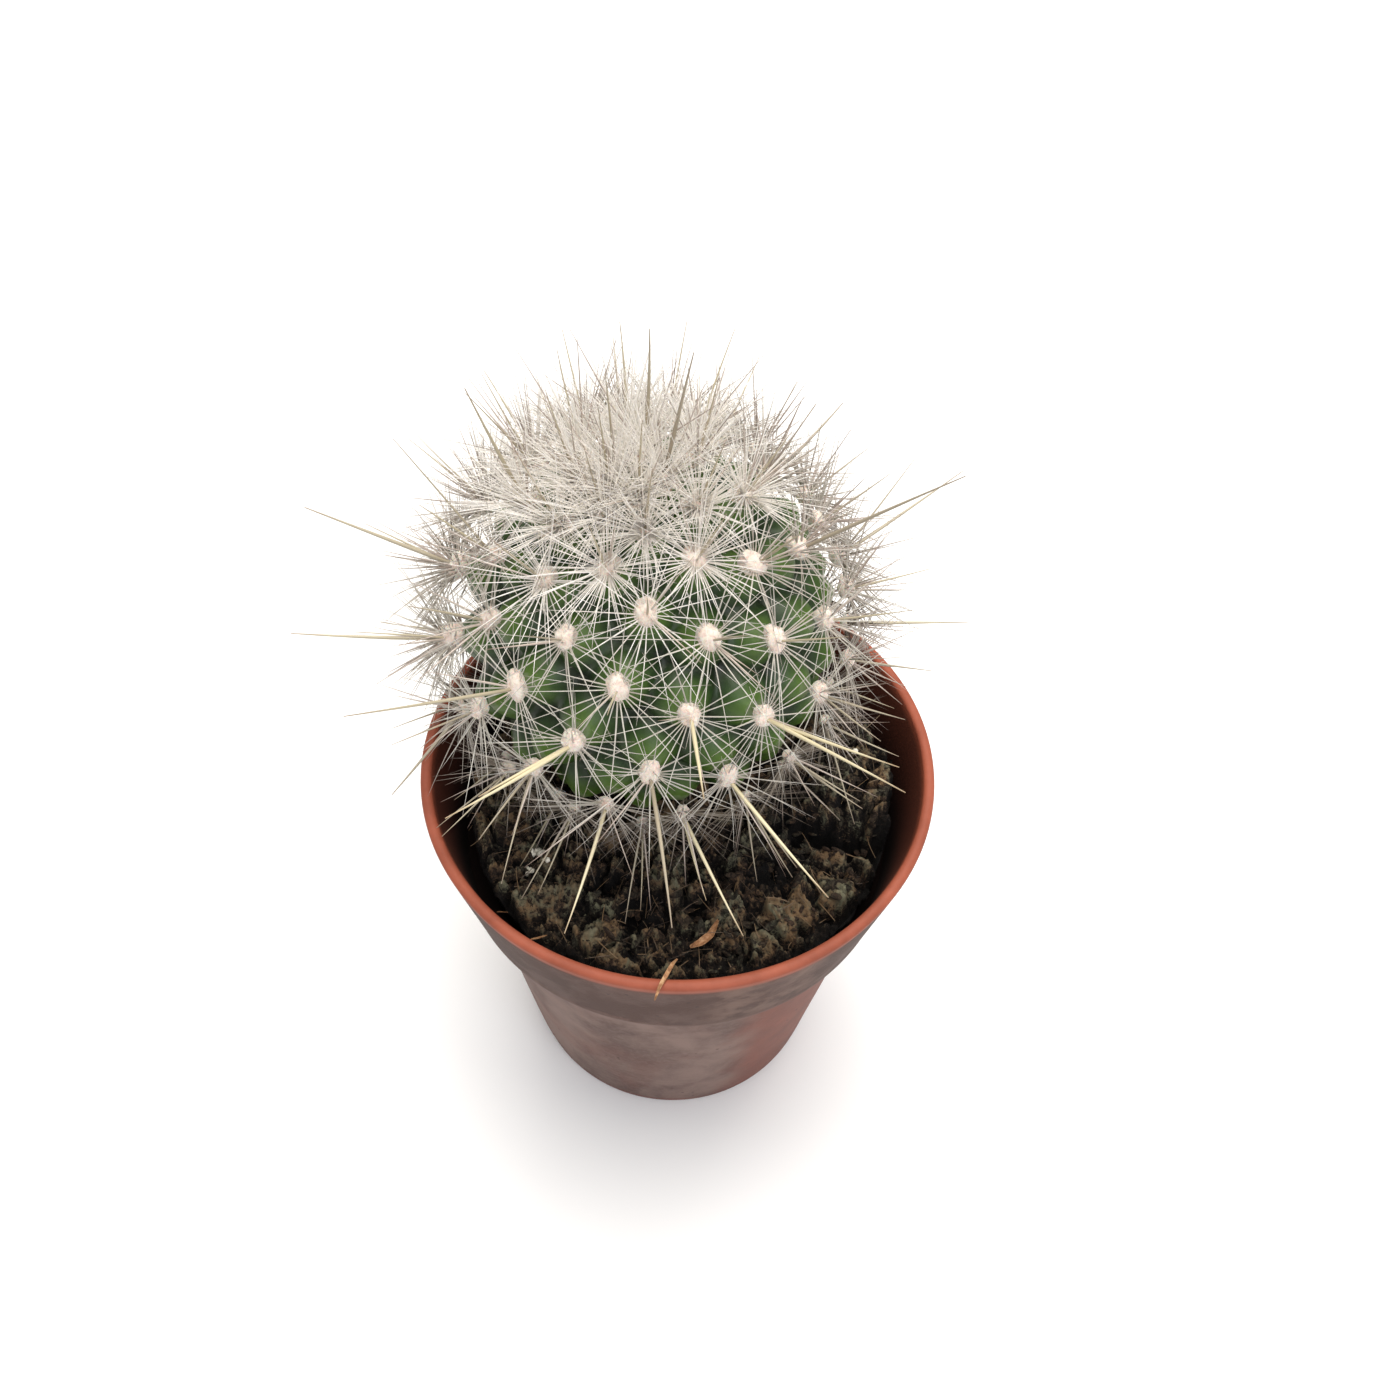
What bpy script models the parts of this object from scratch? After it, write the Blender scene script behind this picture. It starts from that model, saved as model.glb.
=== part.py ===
"""Potted round cactus: a white-spined globe cactus in a small tapered terracotta-coloured plastic pot.

Frame: +Z up, metres, origin on the pot's axis at its underside. The front of the pot faces -Y.
The plant is one green stem covered in tubercles. Each tubercle carries an areole, a woolly pad with its
own star of spines. Areoles follow the plant's phyllotactic spiral, counted from the growing tip outwards.
"""

import math
import random

import bmesh
import bpy
from mathutils import Matrix, Vector, noise

MM = 0.001

# Pot: a turned plastic shell with a collar under its lip
POT_HEIGHT = 51.4 * MM
RIM_RADIUS = 27.5 * MM
LIP_WIDTH = 1.2 * MM
COLLAR_DEPTH = 13.5 * MM
COLLAR_FOOT_RADIUS = 25.1 * MM
BODY_TOP_RADIUS = 23.4 * MM
BASE_RADIUS = 19.0 * MM
WALL = 1.1 * MM
FLOOR = 1.5 * MM
STEP_HEIGHT = 1.4 * MM
EDGE_ROUND = 0.5 * MM
POT_STEPS = 64
DRAIN_HOLES = 4
DRAIN_RADIUS = 2.4 * MM
DRAIN_CIRCLE = 11.0 * MM

# Clearance between pieces that rest on each other
GAP = 0.35 * MM

# Soil: a shrunken root ball that has drawn away from the wall, cracked, and raised behind the crack
SOIL_TOP = 44.2 * MM
SOIL_TOP_RADIUS = 23.5 * MM
SOIL_FOOT_RADIUS = 17.3 * MM
SOIL_WAIST_RADIUS = 21.3 * MM
SOIL_WAIST = 37.2 * MM
SOIL_SHIFT = Vector((0.3, -0.3, 0)) * MM
SOIL_LUMP = 1.0 * MM
SOIL_LUMP_SIZE = 4.5 * MM
SOIL_MOUND = 1.1 * MM
SOIL_BLOCK = 3.6 * MM
SOIL_CRACK = 1.8 * MM
CRACK_START = Vector((8.0, -2.5, 0)) * MM
CRACK_END = Vector((24.0, -7.5, 0)) * MM
CRACK_WIDTH = 2.2 * MM
SOIL_SEGMENTS = 48
SOIL_RINGS = 9

# Plant: a slightly flattened globe that leans to the left and towards the front
PLANT_CENTRE = Vector((-3.7, 7.0, 64.2)) * MM
PLANT_LEAN = Vector((-0.116, -0.092, 1.0)).normalized()
AREOLE_RADIUS = 20.7 * MM
FLATTENING = 0.93
TUBERCLE_HEIGHT = 3.0 * MM
TUBERCLE_WIDTH = 4.6 * MM
STEM_DETAIL = 4
NECK_RADIUS = 7.5 * MM
NECK_FOOT = 42.4 * MM
NECK_START = 0.62

# Phyllotaxis: areole n sits SPREAD * n ** SPREAD_POWER radians from the tip
SPREAD = 0.05
SPREAD_POWER = 0.8324
DIVERGENCE = math.radians(137.43)
FIRST_BEARING = 0.94
CROWN_AREOLES = 21
SINGLE_AREOLES = 69
ALL_AREOLES = 95

# Areole pads and spines
PAD_RADIUS = 0.95 * MM
PAD_HEIGHT = 0.7 * MM
RADIAL_SPINES = 10
RADIAL_LENGTH = 7.5 * MM
RADIAL_RISE = math.radians(16)
CENTRAL_SHORT = 8.0 * MM
CENTRAL_RANGE = 2.5 * MM
CENTRAL_TILT = math.radians(8)
GOLDEN_SHARE = 0.618034
# Grown-out central spines: areole number to length in mm, tilt and bearing in degrees
LONG_CENTRALS = {
    5: (14.5, 6, -30),
    8: (12, 6, -75),
    14: (13, 12, -150),
    31: (18, 4, -45),
    35: (15, 2, -140),
    38: (18, 10, -125),
    41: (14, 7, -95),
    46: (17, 16, -135),
    49: (18, 8, 125),
    54: (17, 7, 90),
    55: (13, 6, -60),
    56: (15, 4, -130),
    60: (16, 14, 125),
    62: (15.5, 10, 105),
    64: (11, 25, 55),
    67: (13, 3, -115),
    73: (14.5, 2, 135),
}
NEEDLE_ROOT = 0.35 * MM

# Crown: wool and young spines that cover the growing tip
CROWN_ANGLE = SPREAD * (CROWN_AREOLES + 0.5) ** SPREAD_POWER - 0.075
CROWN_SEGMENTS = 18
CROWN_RINGS = 12
CROWN_THICKNESS = 1.1 * MM
CROWN_NEEDLE = 5.0 * MM

# Wreath of dried, interlaced old spines round the foot of the globe
WREATH_ANGLE = math.radians(111)
WREATH_SPREAD = math.radians(4)
WREATH_THICKNESS = 0.9 * MM
WREATH_SEGMENTS = 40
WREATH_SIDES = 6
WREATH_NEEDLE = 5.5 * MM
WREATH_WANDER = 0.6

SEED = 7

COLOURS = {
    "terracotta_plastic": ((0.60, 0.34, 0.27), 0.45),
    "potting_soil": ((0.19, 0.15, 0.12), 0.95),
    "cactus_skin": ((0.22, 0.33, 0.15), 0.55),
    "spine_white": ((0.82, 0.80, 0.72), 0.40),
    "spine_straw": ((0.80, 0.73, 0.58), 0.45),
    "old_spine": ((0.56, 0.51, 0.45), 0.60),
    "perlite": ((0.90, 0.86, 0.76), 0.90),
    "dry_husk": ((0.66, 0.49, 0.31), 0.70),
}


def clear_scene():
    """Removes the startup objects."""
    for obj in list(bpy.data.objects):
        bpy.data.objects.remove(obj, do_unlink=True)


def new_collection(name):
    """Adds a collection under the scene's own."""
    collection = bpy.data.collections.new(name)
    bpy.context.scene.collection.children.link(collection)
    return collection


def linear(channel):
    """Turns one sRGB channel to linear light."""
    return channel / 12.92 if channel <= 0.04045 else ((channel + 0.055) / 1.055) ** 2.4


def material(name):
    """Returns the named Principled material, made on first use."""
    if name in bpy.data.materials:
        return bpy.data.materials[name]
    colour, roughness = COLOURS[name]
    made = bpy.data.materials.new(name)
    made.use_nodes = True
    shader = made.node_tree.nodes["Principled BSDF"]
    shader.inputs["Base Color"].default_value = (*map(linear, colour), 1.0)
    shader.inputs["Roughness"].default_value = roughness
    shader.inputs["Metallic"].default_value = 0.0
    return made


def add_object(name, data, collection, finish=None):
    """Links a new object with its material."""
    obj = bpy.data.objects.new(name, data)
    if finish:
        data.materials.append(material(finish))
    collection.objects.link(obj)
    return obj


def mesh_object(name, bm, collection, finish):
    """Turns a bmesh into a smooth-shaded object."""
    mesh = bpy.data.meshes.new(name)
    bmesh.ops.recalc_face_normals(bm, faces=bm.faces)
    bm.to_mesh(mesh)
    bm.free()
    mesh.shade_smooth()
    mesh.set_sharp_from_angle(angle=math.radians(40))
    return add_object(name, mesh, collection, finish)


def mix(a, b, share):
    """Linear blend from a to b."""
    return a + (b - a) * share


def smooth(share):
    """Smooth step of a share, clamped to 0..1."""
    share = min(max(share, 0.0), 1.0)
    return share * share * (3 - 2 * share)


# ---------------------------------------------------------------- pot


def pot_inner_radius(height):
    """Radius of the pot's inside wall at a height."""
    collar_foot = POT_HEIGHT - COLLAR_DEPTH
    if height >= collar_foot:
        share = (height - collar_foot) / COLLAR_DEPTH
        return mix(COLLAR_FOOT_RADIUS, RIM_RADIUS, share) - LIP_WIDTH
    share = height / (collar_foot - STEP_HEIGHT)
    return mix(BASE_RADIUS, BODY_TOP_RADIUS, min(share, 1.0)) - WALL


def pot_profile():
    """Closed section of the pot wall: down the outside, under the floor, then up the inside."""
    collar_foot = POT_HEIGHT - COLLAR_DEPTH
    lip_middle = RIM_RADIUS - LIP_WIDTH / 2
    lip = [
        (lip_middle + math.cos(turn) * LIP_WIDTH / 2, POT_HEIGHT - EDGE_ROUND * (1 - math.sin(turn)))
        for turn in (math.pi * k / 6 for k in range(6, -1, -1))
    ]
    foot = [
        (BASE_RADIUS - EDGE_ROUND * (1 - math.cos(turn)), EDGE_ROUND * (1 - math.sin(turn)))
        for turn in (math.pi / 2 * k / 3 for k in range(4))
    ]
    outside = [
        (COLLAR_FOOT_RADIUS, collar_foot),
        (COLLAR_FOOT_RADIUS - EDGE_ROUND, collar_foot - EDGE_ROUND),
        (BODY_TOP_RADIUS, collar_foot - STEP_HEIGHT),
    ]
    inside = [
        (0.0, FLOOR),
        (pot_inner_radius(FLOOR) - EDGE_ROUND, FLOOR),
        (pot_inner_radius(FLOOR) + EDGE_ROUND / 4, FLOOR + EDGE_ROUND),
        (BODY_TOP_RADIUS - WALL, collar_foot - STEP_HEIGHT),
        (COLLAR_FOOT_RADIUS - LIP_WIDTH, collar_foot),
    ]
    return lip + outside + foot + [(0.0, 0.0)] + inside


def build_pot(parts, cutters):
    """The turned pot with its drain holes."""
    points = pot_profile()
    axis = [k for k, (radius, _) in enumerate(points) if radius == 0.0]
    bm = bmesh.new()
    verts = [bm.verts.new((radius, 0, height)) for radius, height in points]
    for k in range(len(verts)):
        after = (k + 1) % len(verts)
        if not (k in axis and after in axis):
            bm.edges.new((verts[k], verts[after]))
    mesh = bpy.data.meshes.new("pot")
    bm.to_mesh(mesh)
    bm.free()
    pot = add_object("pot", mesh, parts, "terracotta_plastic")
    screw = pot.modifiers.new("Turn", "SCREW")
    screw.steps = POT_STEPS
    screw.render_steps = POT_STEPS
    screw.use_merge_vertices = True
    screw.merge_threshold = 0.00001
    for k in range(DRAIN_HOLES):
        turn = math.tau * (k + 0.5) / DRAIN_HOLES
        bm = bmesh.new()
        bmesh.ops.create_cone(
            bm, cap_ends=True, segments=16, radius1=DRAIN_RADIUS, radius2=DRAIN_RADIUS, depth=6 * FLOOR
        )
        cutter = mesh_object(f"drain_cutter_{k + 1}", bm, cutters, "terracotta_plastic")
        cutter.location = (DRAIN_CIRCLE * math.cos(turn), DRAIN_CIRCLE * math.sin(turn), FLOOR / 2)
        cutter.hide_render = True
        cutter.display_type = "WIRE"
        cut = pot.modifiers.new(f"Drain {k + 1}", "BOOLEAN")
        cut.operation = "DIFFERENCE"
        cut.solver = "EXACT"
        cut.object = cutter


# ---------------------------------------------------------------- soil


def soil_height(x, y):
    """Top of the soil: lumps, a slight mound towards the plant, and the raised block behind the crack."""
    away = math.hypot(x - PLANT_CENTRE.x, y - PLANT_CENTRE.y)
    mound = SOIL_MOUND * (1 - smooth(away / SOIL_TOP_RADIUS))
    spot = Vector((x, y, 0)) / SOIL_LUMP_SIZE
    lumps = noise.noise(spot) + 0.5 * noise.noise(spot * 2.3 + Vector((7, 3, 1)))
    along = (CRACK_END - CRACK_START).normalized()
    start = Vector((x, y, 0)) - CRACK_START
    behind = along.cross(start).z
    reach = smooth(start.dot(along) / (4 * CRACK_WIDTH))
    block = SOIL_BLOCK * smooth(behind / (1.5 * CRACK_WIDTH)) * reach
    crack = SOIL_CRACK * (1 - smooth(abs(behind) / CRACK_WIDTH)) * reach
    return SOIL_TOP + mound + block - crack + SOIL_LUMP * lumps


def build_soil(parts):
    """The root ball: a tapered plug with a lumpy top and a socket for the plant's neck."""
    foot_height = FLOOR + GAP
    socket = NECK_RADIUS + GAP
    neck = Vector((PLANT_CENTRE.x, PLANT_CENTRE.y, 0))
    bm = bmesh.new()
    bmesh.ops.create_cone(
        bm,
        cap_ends=True,
        segments=SOIL_SEGMENTS,
        radius1=SOIL_FOOT_RADIUS,
        radius2=SOIL_WAIST_RADIUS,
        depth=SOIL_WAIST - foot_height,
        matrix=Matrix.Translation((0, 0, (SOIL_WAIST + foot_height) / 2)),
    )
    top = max(bm.faces, key=lambda face: face.calc_center_median().z)
    bmesh.ops.inset_individual(bm, faces=[top], thickness=GAP / 10)

    def place_ring(old_centre, centre, radius, height=None):
        for vert in top.verts:
            turn = math.atan2(vert.co.y - old_centre.y, vert.co.x - old_centre.x)
            x = centre.x + radius * math.cos(turn)
            y = centre.y + radius * math.sin(turn)
            vert.co = (x, y, soil_height(x, y) if height is None else height)

    place_ring(Vector(), SOIL_SHIFT, SOIL_TOP_RADIUS)
    last = SOIL_SHIFT
    for ring in range(1, SOIL_RINGS + 1):
        share = ring / SOIL_RINGS
        centre = SOIL_SHIFT.lerp(neck, share)
        bmesh.ops.inset_individual(bm, faces=[top], thickness=GAP / 10)
        place_ring(last, centre, mix(SOIL_TOP_RADIUS, socket, share))
        last = centre
    bmesh.ops.inset_individual(bm, faces=[top], thickness=GAP / 10)
    place_ring(last, neck, socket, NECK_FOOT - GAP)
    mesh_object("soil", bm, parts, "potting_soil")


# ---------------------------------------------------------------- plant


def lean_matrix():
    """Turns the plant's own axis onto its lean."""
    return Vector((0, 0, 1)).rotation_difference(PLANT_LEAN).to_matrix()


LEAN = lean_matrix()


def on_globe(angle, bearing, radius=AREOLE_RADIUS):
    """Point on the globe, at an angle from the tip and a bearing round the axis."""
    local = Vector(
        (
            radius * math.sin(angle) * math.cos(bearing),
            radius * math.sin(angle) * math.sin(bearing),
            radius * FLATTENING * math.cos(angle),
        )
    )
    return PLANT_CENTRE + LEAN @ local


def globe_normal(angle, bearing):
    """Outward normal of the globe there."""
    local = Vector(
        (
            math.sin(angle) * math.cos(bearing),
            math.sin(angle) * math.sin(bearing),
            math.cos(angle) / FLATTENING,
        )
    )
    return (LEAN @ local).normalized()


def areole_angles(n):
    """Angle from the tip and bearing of areole n."""
    return SPREAD * n**SPREAD_POWER, FIRST_BEARING + n * DIVERGENCE


def areole_frame(n):
    """Place, outward normal, and the tangents away from the tip and sideways."""
    angle, bearing = areole_angles(n)
    place = on_globe(angle, bearing)
    outward = globe_normal(angle, bearing)
    away = (on_globe(angle + 0.01, bearing) - place).normalized()
    side = outward.cross(away)
    return place, outward, away, side


SITES = [areole_frame(n) for n in range(1, ALL_AREOLES + 1)]


def central_spine(n):
    """Tip of the central spine of areole n."""
    place, outward, away, side = SITES[n - 1]
    share = (n * GOLDEN_SHARE) % 1.0
    turn = math.tau * share
    lean = CENTRAL_TILT * (0.4 + 0.6 * ((n * GOLDEN_SHARE * 3) % 1.0))
    length = CENTRAL_SHORT + CENTRAL_RANGE * share
    if n in LONG_CENTRALS:
        length_mm, tilt, bearing = LONG_CENTRALS[n]
        length, lean, turn = length_mm * MM, math.radians(tilt), math.radians(bearing)
    sideways = away * math.cos(turn) + side * math.sin(turn)
    return place + (outward * math.cos(lean) + sideways * math.sin(lean)) * length


def is_clear(point):
    """True where a spine neither meets the pot wall nor the soil."""
    radius = math.hypot(point.x, point.y)
    over_rim = point.z > POT_HEIGHT + 2 * GAP
    inside = radius < pot_inner_radius(point.z) - 2 * GAP
    outside = radius > RIM_RADIUS + 2 * GAP
    over_soil = outside or point.z > soil_height(point.x, point.y) + 2 * GAP
    return over_rim or (inside and over_soil)


def clear_tip(base, tip):
    """The furthest point towards the tip that stays clear of pot and soil."""
    steps = 24
    last = base
    for k in range(1, steps + 1):
        point = base.lerp(tip, k / steps)
        if not is_clear(point):
            break
        last = point
    return last


def radial_limit(n, direction):
    """How far a radial spine of areole n runs before it meets its neighbours' half."""
    place = SITES[n - 1][0]
    limit = RADIAL_LENGTH
    for other, site in enumerate(SITES, start=1):
        gap = site[0] - place
        if other == n or gap.length > 2 * RADIAL_LENGTH:
            continue
        along = direction.dot(gap.normalized())
        if along > 0.05:
            limit = min(limit, (gap.length / 2 - GAP) / along)
    return limit


def stem_radius(direction):
    """Radius of the stem along a direction: valleys, with a rounded cone at each areole."""
    tip = AREOLE_RADIUS - PAD_HEIGHT - 1.6 * GAP
    place = LEAN @ Vector((direction.x, direction.y, direction.z * FLATTENING)) * AREOLE_RADIUS
    place += PLANT_CENTRE
    nearest = min((site[0] - place).length for site in SITES)
    share = min(nearest / TUBERCLE_WIDTH, 1.0)
    return tip - TUBERCLE_HEIGHT * share * (2 - share) * smooth(0.35 + share)


def build_stem(parts):
    """The green globe with a tubercle under every areole and a short neck into the soil."""
    bm = bmesh.new()
    bmesh.ops.create_icosphere(bm, subdivisions=STEM_DETAIL, radius=1.0)
    for vert in bm.verts:
        direction = vert.co.normalized()
        radius = stem_radius(direction)
        local = Vector((direction.x, direction.y, direction.z * FLATTENING)) * radius
        place = PLANT_CENTRE + LEAN @ local
        neck = smooth((-direction.z - NECK_START) / (1 - NECK_START))
        if neck > 0:
            turn = math.atan2(place.y - PLANT_CENTRE.y, place.x - PLANT_CENTRE.x)
            ring = math.sqrt(max(0.0, 1 - direction.z**2))
            edge = math.sqrt(1 - NECK_START**2)
            width = NECK_RADIUS * math.sqrt(ring / edge)
            target = Vector(
                (
                    PLANT_CENTRE.x + width * math.cos(turn),
                    PLANT_CENTRE.y + width * math.sin(turn),
                    mix(place.z, NECK_FOOT, smooth(1.6 * neck)),
                )
            )
            place = place.lerp(target, smooth(1.4 * neck))
        vert.co = place
    mesh_object("cactus_stem", bm, parts, "cactus_skin")


def raise_needle(bm, face, tip, root=None):
    """Draws a face out to a pointed spine, from a small root when one is given."""
    if root:
        bmesh.ops.inset_individual(bm, faces=[face], thickness=root / 20)
        centre = face.calc_center_median()
        for vert in face.verts:
            vert.co = centre + (vert.co - centre).normalized() * root
    poked = bmesh.ops.poke(bm, faces=[face])
    poked["verts"][0].co = tip


def build_cluster(n, parts):
    """One areole: its woolly pad with radial spines round it and one central spine."""
    place, outward, away, side = SITES[n - 1]
    axes = Matrix((away, side, outward)).transposed()
    bm = bmesh.new()
    bmesh.ops.create_uvsphere(bm, u_segments=RADIAL_SPINES, v_segments=4, radius=1.0)
    crown = max(bm.verts, key=lambda vert: vert.co.z)
    sides = [face for face in bm.faces if len(face.verts) == 4 and face.calc_center_median().z > 0]
    for vert in bm.verts:
        local = Vector((vert.co.x * PAD_RADIUS, vert.co.y * PAD_RADIUS, vert.co.z * PAD_HEIGHT))
        vert.co = place + axes @ local
    for face in sides:
        start = face.calc_center_median()
        flat = start - place
        flat = (flat - outward * flat.dot(outward)).normalized()
        reach = radial_limit(n, flat)
        direction = flat * math.cos(RADIAL_RISE) + outward * math.sin(RADIAL_RISE)
        tip = clear_tip(start, place + direction * reach)
        if (tip - start).length > PAD_RADIUS / 2:
            raise_needle(bm, face, tip)
    crown.co = clear_tip(place, central_spine(n))
    finish = "spine_straw" if n in LONG_CENTRALS else "spine_white"
    mesh_object(f"areole_{n:02d}_spines", bm, parts, finish)


def build_crown(parts):
    """Cap of wool and young spines over the growing tip, one solid because they are felted together."""
    rng = random.Random(SEED)
    bm = bmesh.new()
    bmesh.ops.create_uvsphere(bm, u_segments=CROWN_SEGMENTS, v_segments=CROWN_RINGS, radius=1.0)
    for vert in bm.verts:
        polar = math.acos(max(-1.0, min(1.0, vert.co.z)))
        bearing = math.atan2(vert.co.y, vert.co.x)
        upper = polar <= math.pi / 2
        angle = CROWN_ANGLE * (polar if upper else math.pi - polar) / (math.pi / 2)
        edge = 1 - (angle / CROWN_ANGLE) ** 4
        depth = -PAD_HEIGHT / 2 + (CROWN_THICKNESS if upper else 0.0) * edge
        vert.co = on_globe(angle, bearing, AREOLE_RADIUS + depth)
    bm.normal_update()
    outer = [
        face
        for face in bm.faces
        if (face.calc_center_median() - PLANT_CENTRE).length > AREOLE_RADIUS * FLATTENING
        and len(face.verts) == 4
        and face.normal.dot(face.calc_center_median() - PLANT_CENTRE) > 0
    ]
    needles = {}
    for n in range(1, CROWN_AREOLES + 1):
        place = SITES[n - 1][0]
        free = [face for face in outer if face not in needles]
        nearest = min(free, key=lambda face: (face.calc_center_median() - place).length)
        needles[nearest] = central_spine(n)
    for face in outer:
        if face not in needles and rng.random() < 0.6:
            centre = face.calc_center_median()
            outward = (centre - PLANT_CENTRE).normalized()
            reach = CROWN_NEEDLE * rng.uniform(0.7, 1.2)
            needles[face] = centre + (outward + PLANT_LEAN * rng.uniform(0.1, 0.5)).normalized() * reach
    for face, tip in needles.items():
        raise_needle(bm, face, tip, NEEDLE_ROOT)
    mesh_object("crown_wool_and_young_spines", bm, parts, "spine_white")


def build_wreath(parts):
    """Ring of dried, interlaced old spines round the foot of the globe, one tangled solid."""
    rng = random.Random(SEED + 1)
    bm = bmesh.new()
    rings = []
    for segment in range(WREATH_SEGMENTS):
        bearing = math.tau * segment / WREATH_SEGMENTS
        ring = []
        for side in range(WREATH_SIDES):
            turn = math.tau * side / WREATH_SIDES
            angle = WREATH_ANGLE + WREATH_SPREAD * math.cos(turn)
            depth = WREATH_THICKNESS * 0.5 * math.sin(turn)
            ring.append(bm.verts.new(on_globe(angle, bearing, AREOLE_RADIUS + depth)))
        rings.append(ring)
    outer = []
    for segment in range(WREATH_SEGMENTS):
        here, beyond = rings[segment], rings[(segment + 1) % WREATH_SEGMENTS]
        for side in range(WREATH_SIDES):
            after = (side + 1) % WREATH_SIDES
            face = bm.faces.new((here[side], here[after], beyond[after], beyond[side]))
            if side < WREATH_SIDES / 2:
                outer.append(face)
    bmesh.ops.recalc_face_normals(bm, faces=bm.faces)
    for face in outer:
        centre = face.calc_center_median()
        outward = (centre - PLANT_CENTRE).normalized()
        away = face.normal * WREATH_WANDER
        wander = Vector([rng.uniform(-WREATH_WANDER, WREATH_WANDER) for _ in range(3)])
        reach = WREATH_NEEDLE * rng.uniform(0.6, 1.1)
        tip = clear_tip(centre, centre + (outward + away + wander).normalized() * reach)
        if (tip - centre).length > WREATH_THICKNESS:
            raise_needle(bm, face, tip, NEEDLE_ROOT)
    mesh_object("old_spine_wreath", bm, parts, "old_spine")


# ---------------------------------------------------------------- litter on the soil


def build_perlite(name, x, y, size, parts):
    """A puffed perlite grain lying on the soil."""
    bm = bmesh.new()
    bmesh.ops.create_icosphere(bm, subdivisions=2, radius=size)
    centre = Vector((x, y, soil_height(x, y) + size + 2 * GAP))
    for vert in bm.verts:
        swell = 1 + 0.45 * noise.noise(vert.co / size * 1.7 + centre / MM)
        vert.co = centre + vert.co * swell
    mesh_object(name, bm, parts, "perlite")


def build_straw(name, points, radius, parts):
    """A stalk of chaff along a few points."""
    curve = bpy.data.curves.new(name, "CURVE")
    curve.dimensions = "3D"
    curve.bevel_depth = radius
    curve.bevel_resolution = 2
    curve.use_fill_caps = True
    spline = curve.splines.new("POLY")
    spline.points.add(len(points) - 1)
    for point, place in zip(spline.points, points):
        point.co = (*place, 1.0)
    add_object(name, curve, parts, "dry_husk")


def build_husk(parts):
    """A dried husk curled like a boat on the soil."""
    length, width, thickness = 4.2 * MM, 1.2 * MM, 0.25 * MM
    centre = Vector((3.6, -18.9, 0)) * MM
    bm = bmesh.new()
    bmesh.ops.create_grid(bm, x_segments=8, y_segments=4, size=0.5)
    turn = math.radians(48)
    for vert in bm.verts:
        along, across = vert.co.x, vert.co.y * 2
        taper = 1 - (2 * along) ** 2 * 0.85
        x = along * length
        y = across * width / 2 * taper
        z = 1.6 * MM * (2 * along) ** 2 + 0.5 * MM * across**2 * taper
        vert.co = (
            centre.x + x * math.cos(turn) - y * math.sin(turn),
            centre.y + x * math.sin(turn) + y * math.cos(turn),
            soil_height(centre.x, centre.y) + 0.9 * MM + z,
        )
    mesh = bpy.data.meshes.new("dry_husk_leaf")
    bm.to_mesh(mesh)
    bm.free()
    mesh.shade_smooth()
    husk = add_object("dry_husk_leaf", mesh, parts, "dry_husk")
    shell = husk.modifiers.new("Thickness", "SOLIDIFY")
    shell.thickness = thickness


def build_litter(parts):
    """The bits that lie on the soil and the rim."""
    build_perlite("perlite_grain_1", -15.6 * MM, -8.8 * MM, 0.9 * MM, parts)
    build_perlite("perlite_grain_2", 19.4 * MM, 3.2 * MM, 0.7 * MM, parts)
    build_husk(parts)
    rim_top = POT_HEIGHT + GAP + 0.3 * MM
    over_rim = [
        Vector((1.0 * MM, -23.4 * MM, SOIL_TOP + 5.4 * MM)),
        Vector((0.6 * MM, -24.6 * MM, rim_top - 0.6 * MM)),
        Vector((0.1 * MM, -26.0 * MM, rim_top + 0.1 * MM)),
        Vector((-0.5 * MM, -27.4 * MM, rim_top + 0.2 * MM)),
        Vector((-0.9 * MM, -28.6 * MM, rim_top - 0.2 * MM)),
    ]
    build_straw("straw_over_rim", over_rim, 0.3 * MM, parts)


def main():
    """Builds the pot, the soil, the plant and the litter."""
    clear_scene()
    parts = new_collection("potted_round_cactus")
    cutters = new_collection("cutters")
    build_pot(parts, cutters)
    build_soil(parts)
    build_stem(parts)
    build_crown(parts)
    build_wreath(parts)
    for n in range(CROWN_AREOLES + 1, SINGLE_AREOLES + 1):
        build_cluster(n, parts)
    build_litter(parts)


main()
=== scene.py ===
"""Potted round cactus: the finished look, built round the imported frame.

The plant is a white-spined globe cactus in a 5.5 cm moulded nursery pot. Everything is in metres, +Z up,
origin on the pot's axis at its underside, front of the pot towards -Y.
"""

import logging
import math
import random
from dataclasses import dataclass, field
from enum import Enum

import bmesh
import bpy
import numpy as np
from mathutils import Matrix, Quaternion, Vector, noise


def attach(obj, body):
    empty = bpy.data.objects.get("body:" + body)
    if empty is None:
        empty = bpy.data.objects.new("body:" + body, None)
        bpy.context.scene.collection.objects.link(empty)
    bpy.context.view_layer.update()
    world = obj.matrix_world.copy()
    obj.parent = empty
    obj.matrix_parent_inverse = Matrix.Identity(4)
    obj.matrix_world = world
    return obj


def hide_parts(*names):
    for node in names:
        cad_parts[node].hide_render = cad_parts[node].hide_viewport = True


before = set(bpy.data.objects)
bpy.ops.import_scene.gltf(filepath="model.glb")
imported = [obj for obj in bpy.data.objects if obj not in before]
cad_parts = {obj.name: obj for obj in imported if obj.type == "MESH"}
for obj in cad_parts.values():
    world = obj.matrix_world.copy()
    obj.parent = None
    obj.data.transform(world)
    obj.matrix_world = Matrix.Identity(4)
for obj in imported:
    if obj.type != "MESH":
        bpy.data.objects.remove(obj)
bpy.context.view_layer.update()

MM = 0.001
UP = Vector((0, 0, 1))
BODY = "root"
SPINE_MAP = "OFBake"
LOG = logging.getLogger("cactus")


class Slot(Enum):
    """The record's material slots."""

    POT = "terracotta_plastic"
    SOIL = "potting_soil"
    SKIN = "cactus_skin"
    WHITE_SPINE = "spine_white"
    STRAW_SPINE = "spine_straw"
    OLD_SPINE = "old_spine"
    PERLITE = "perlite"
    HUSK = "dry_husk"


# ---------------------------------------------------------------- small tools


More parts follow.
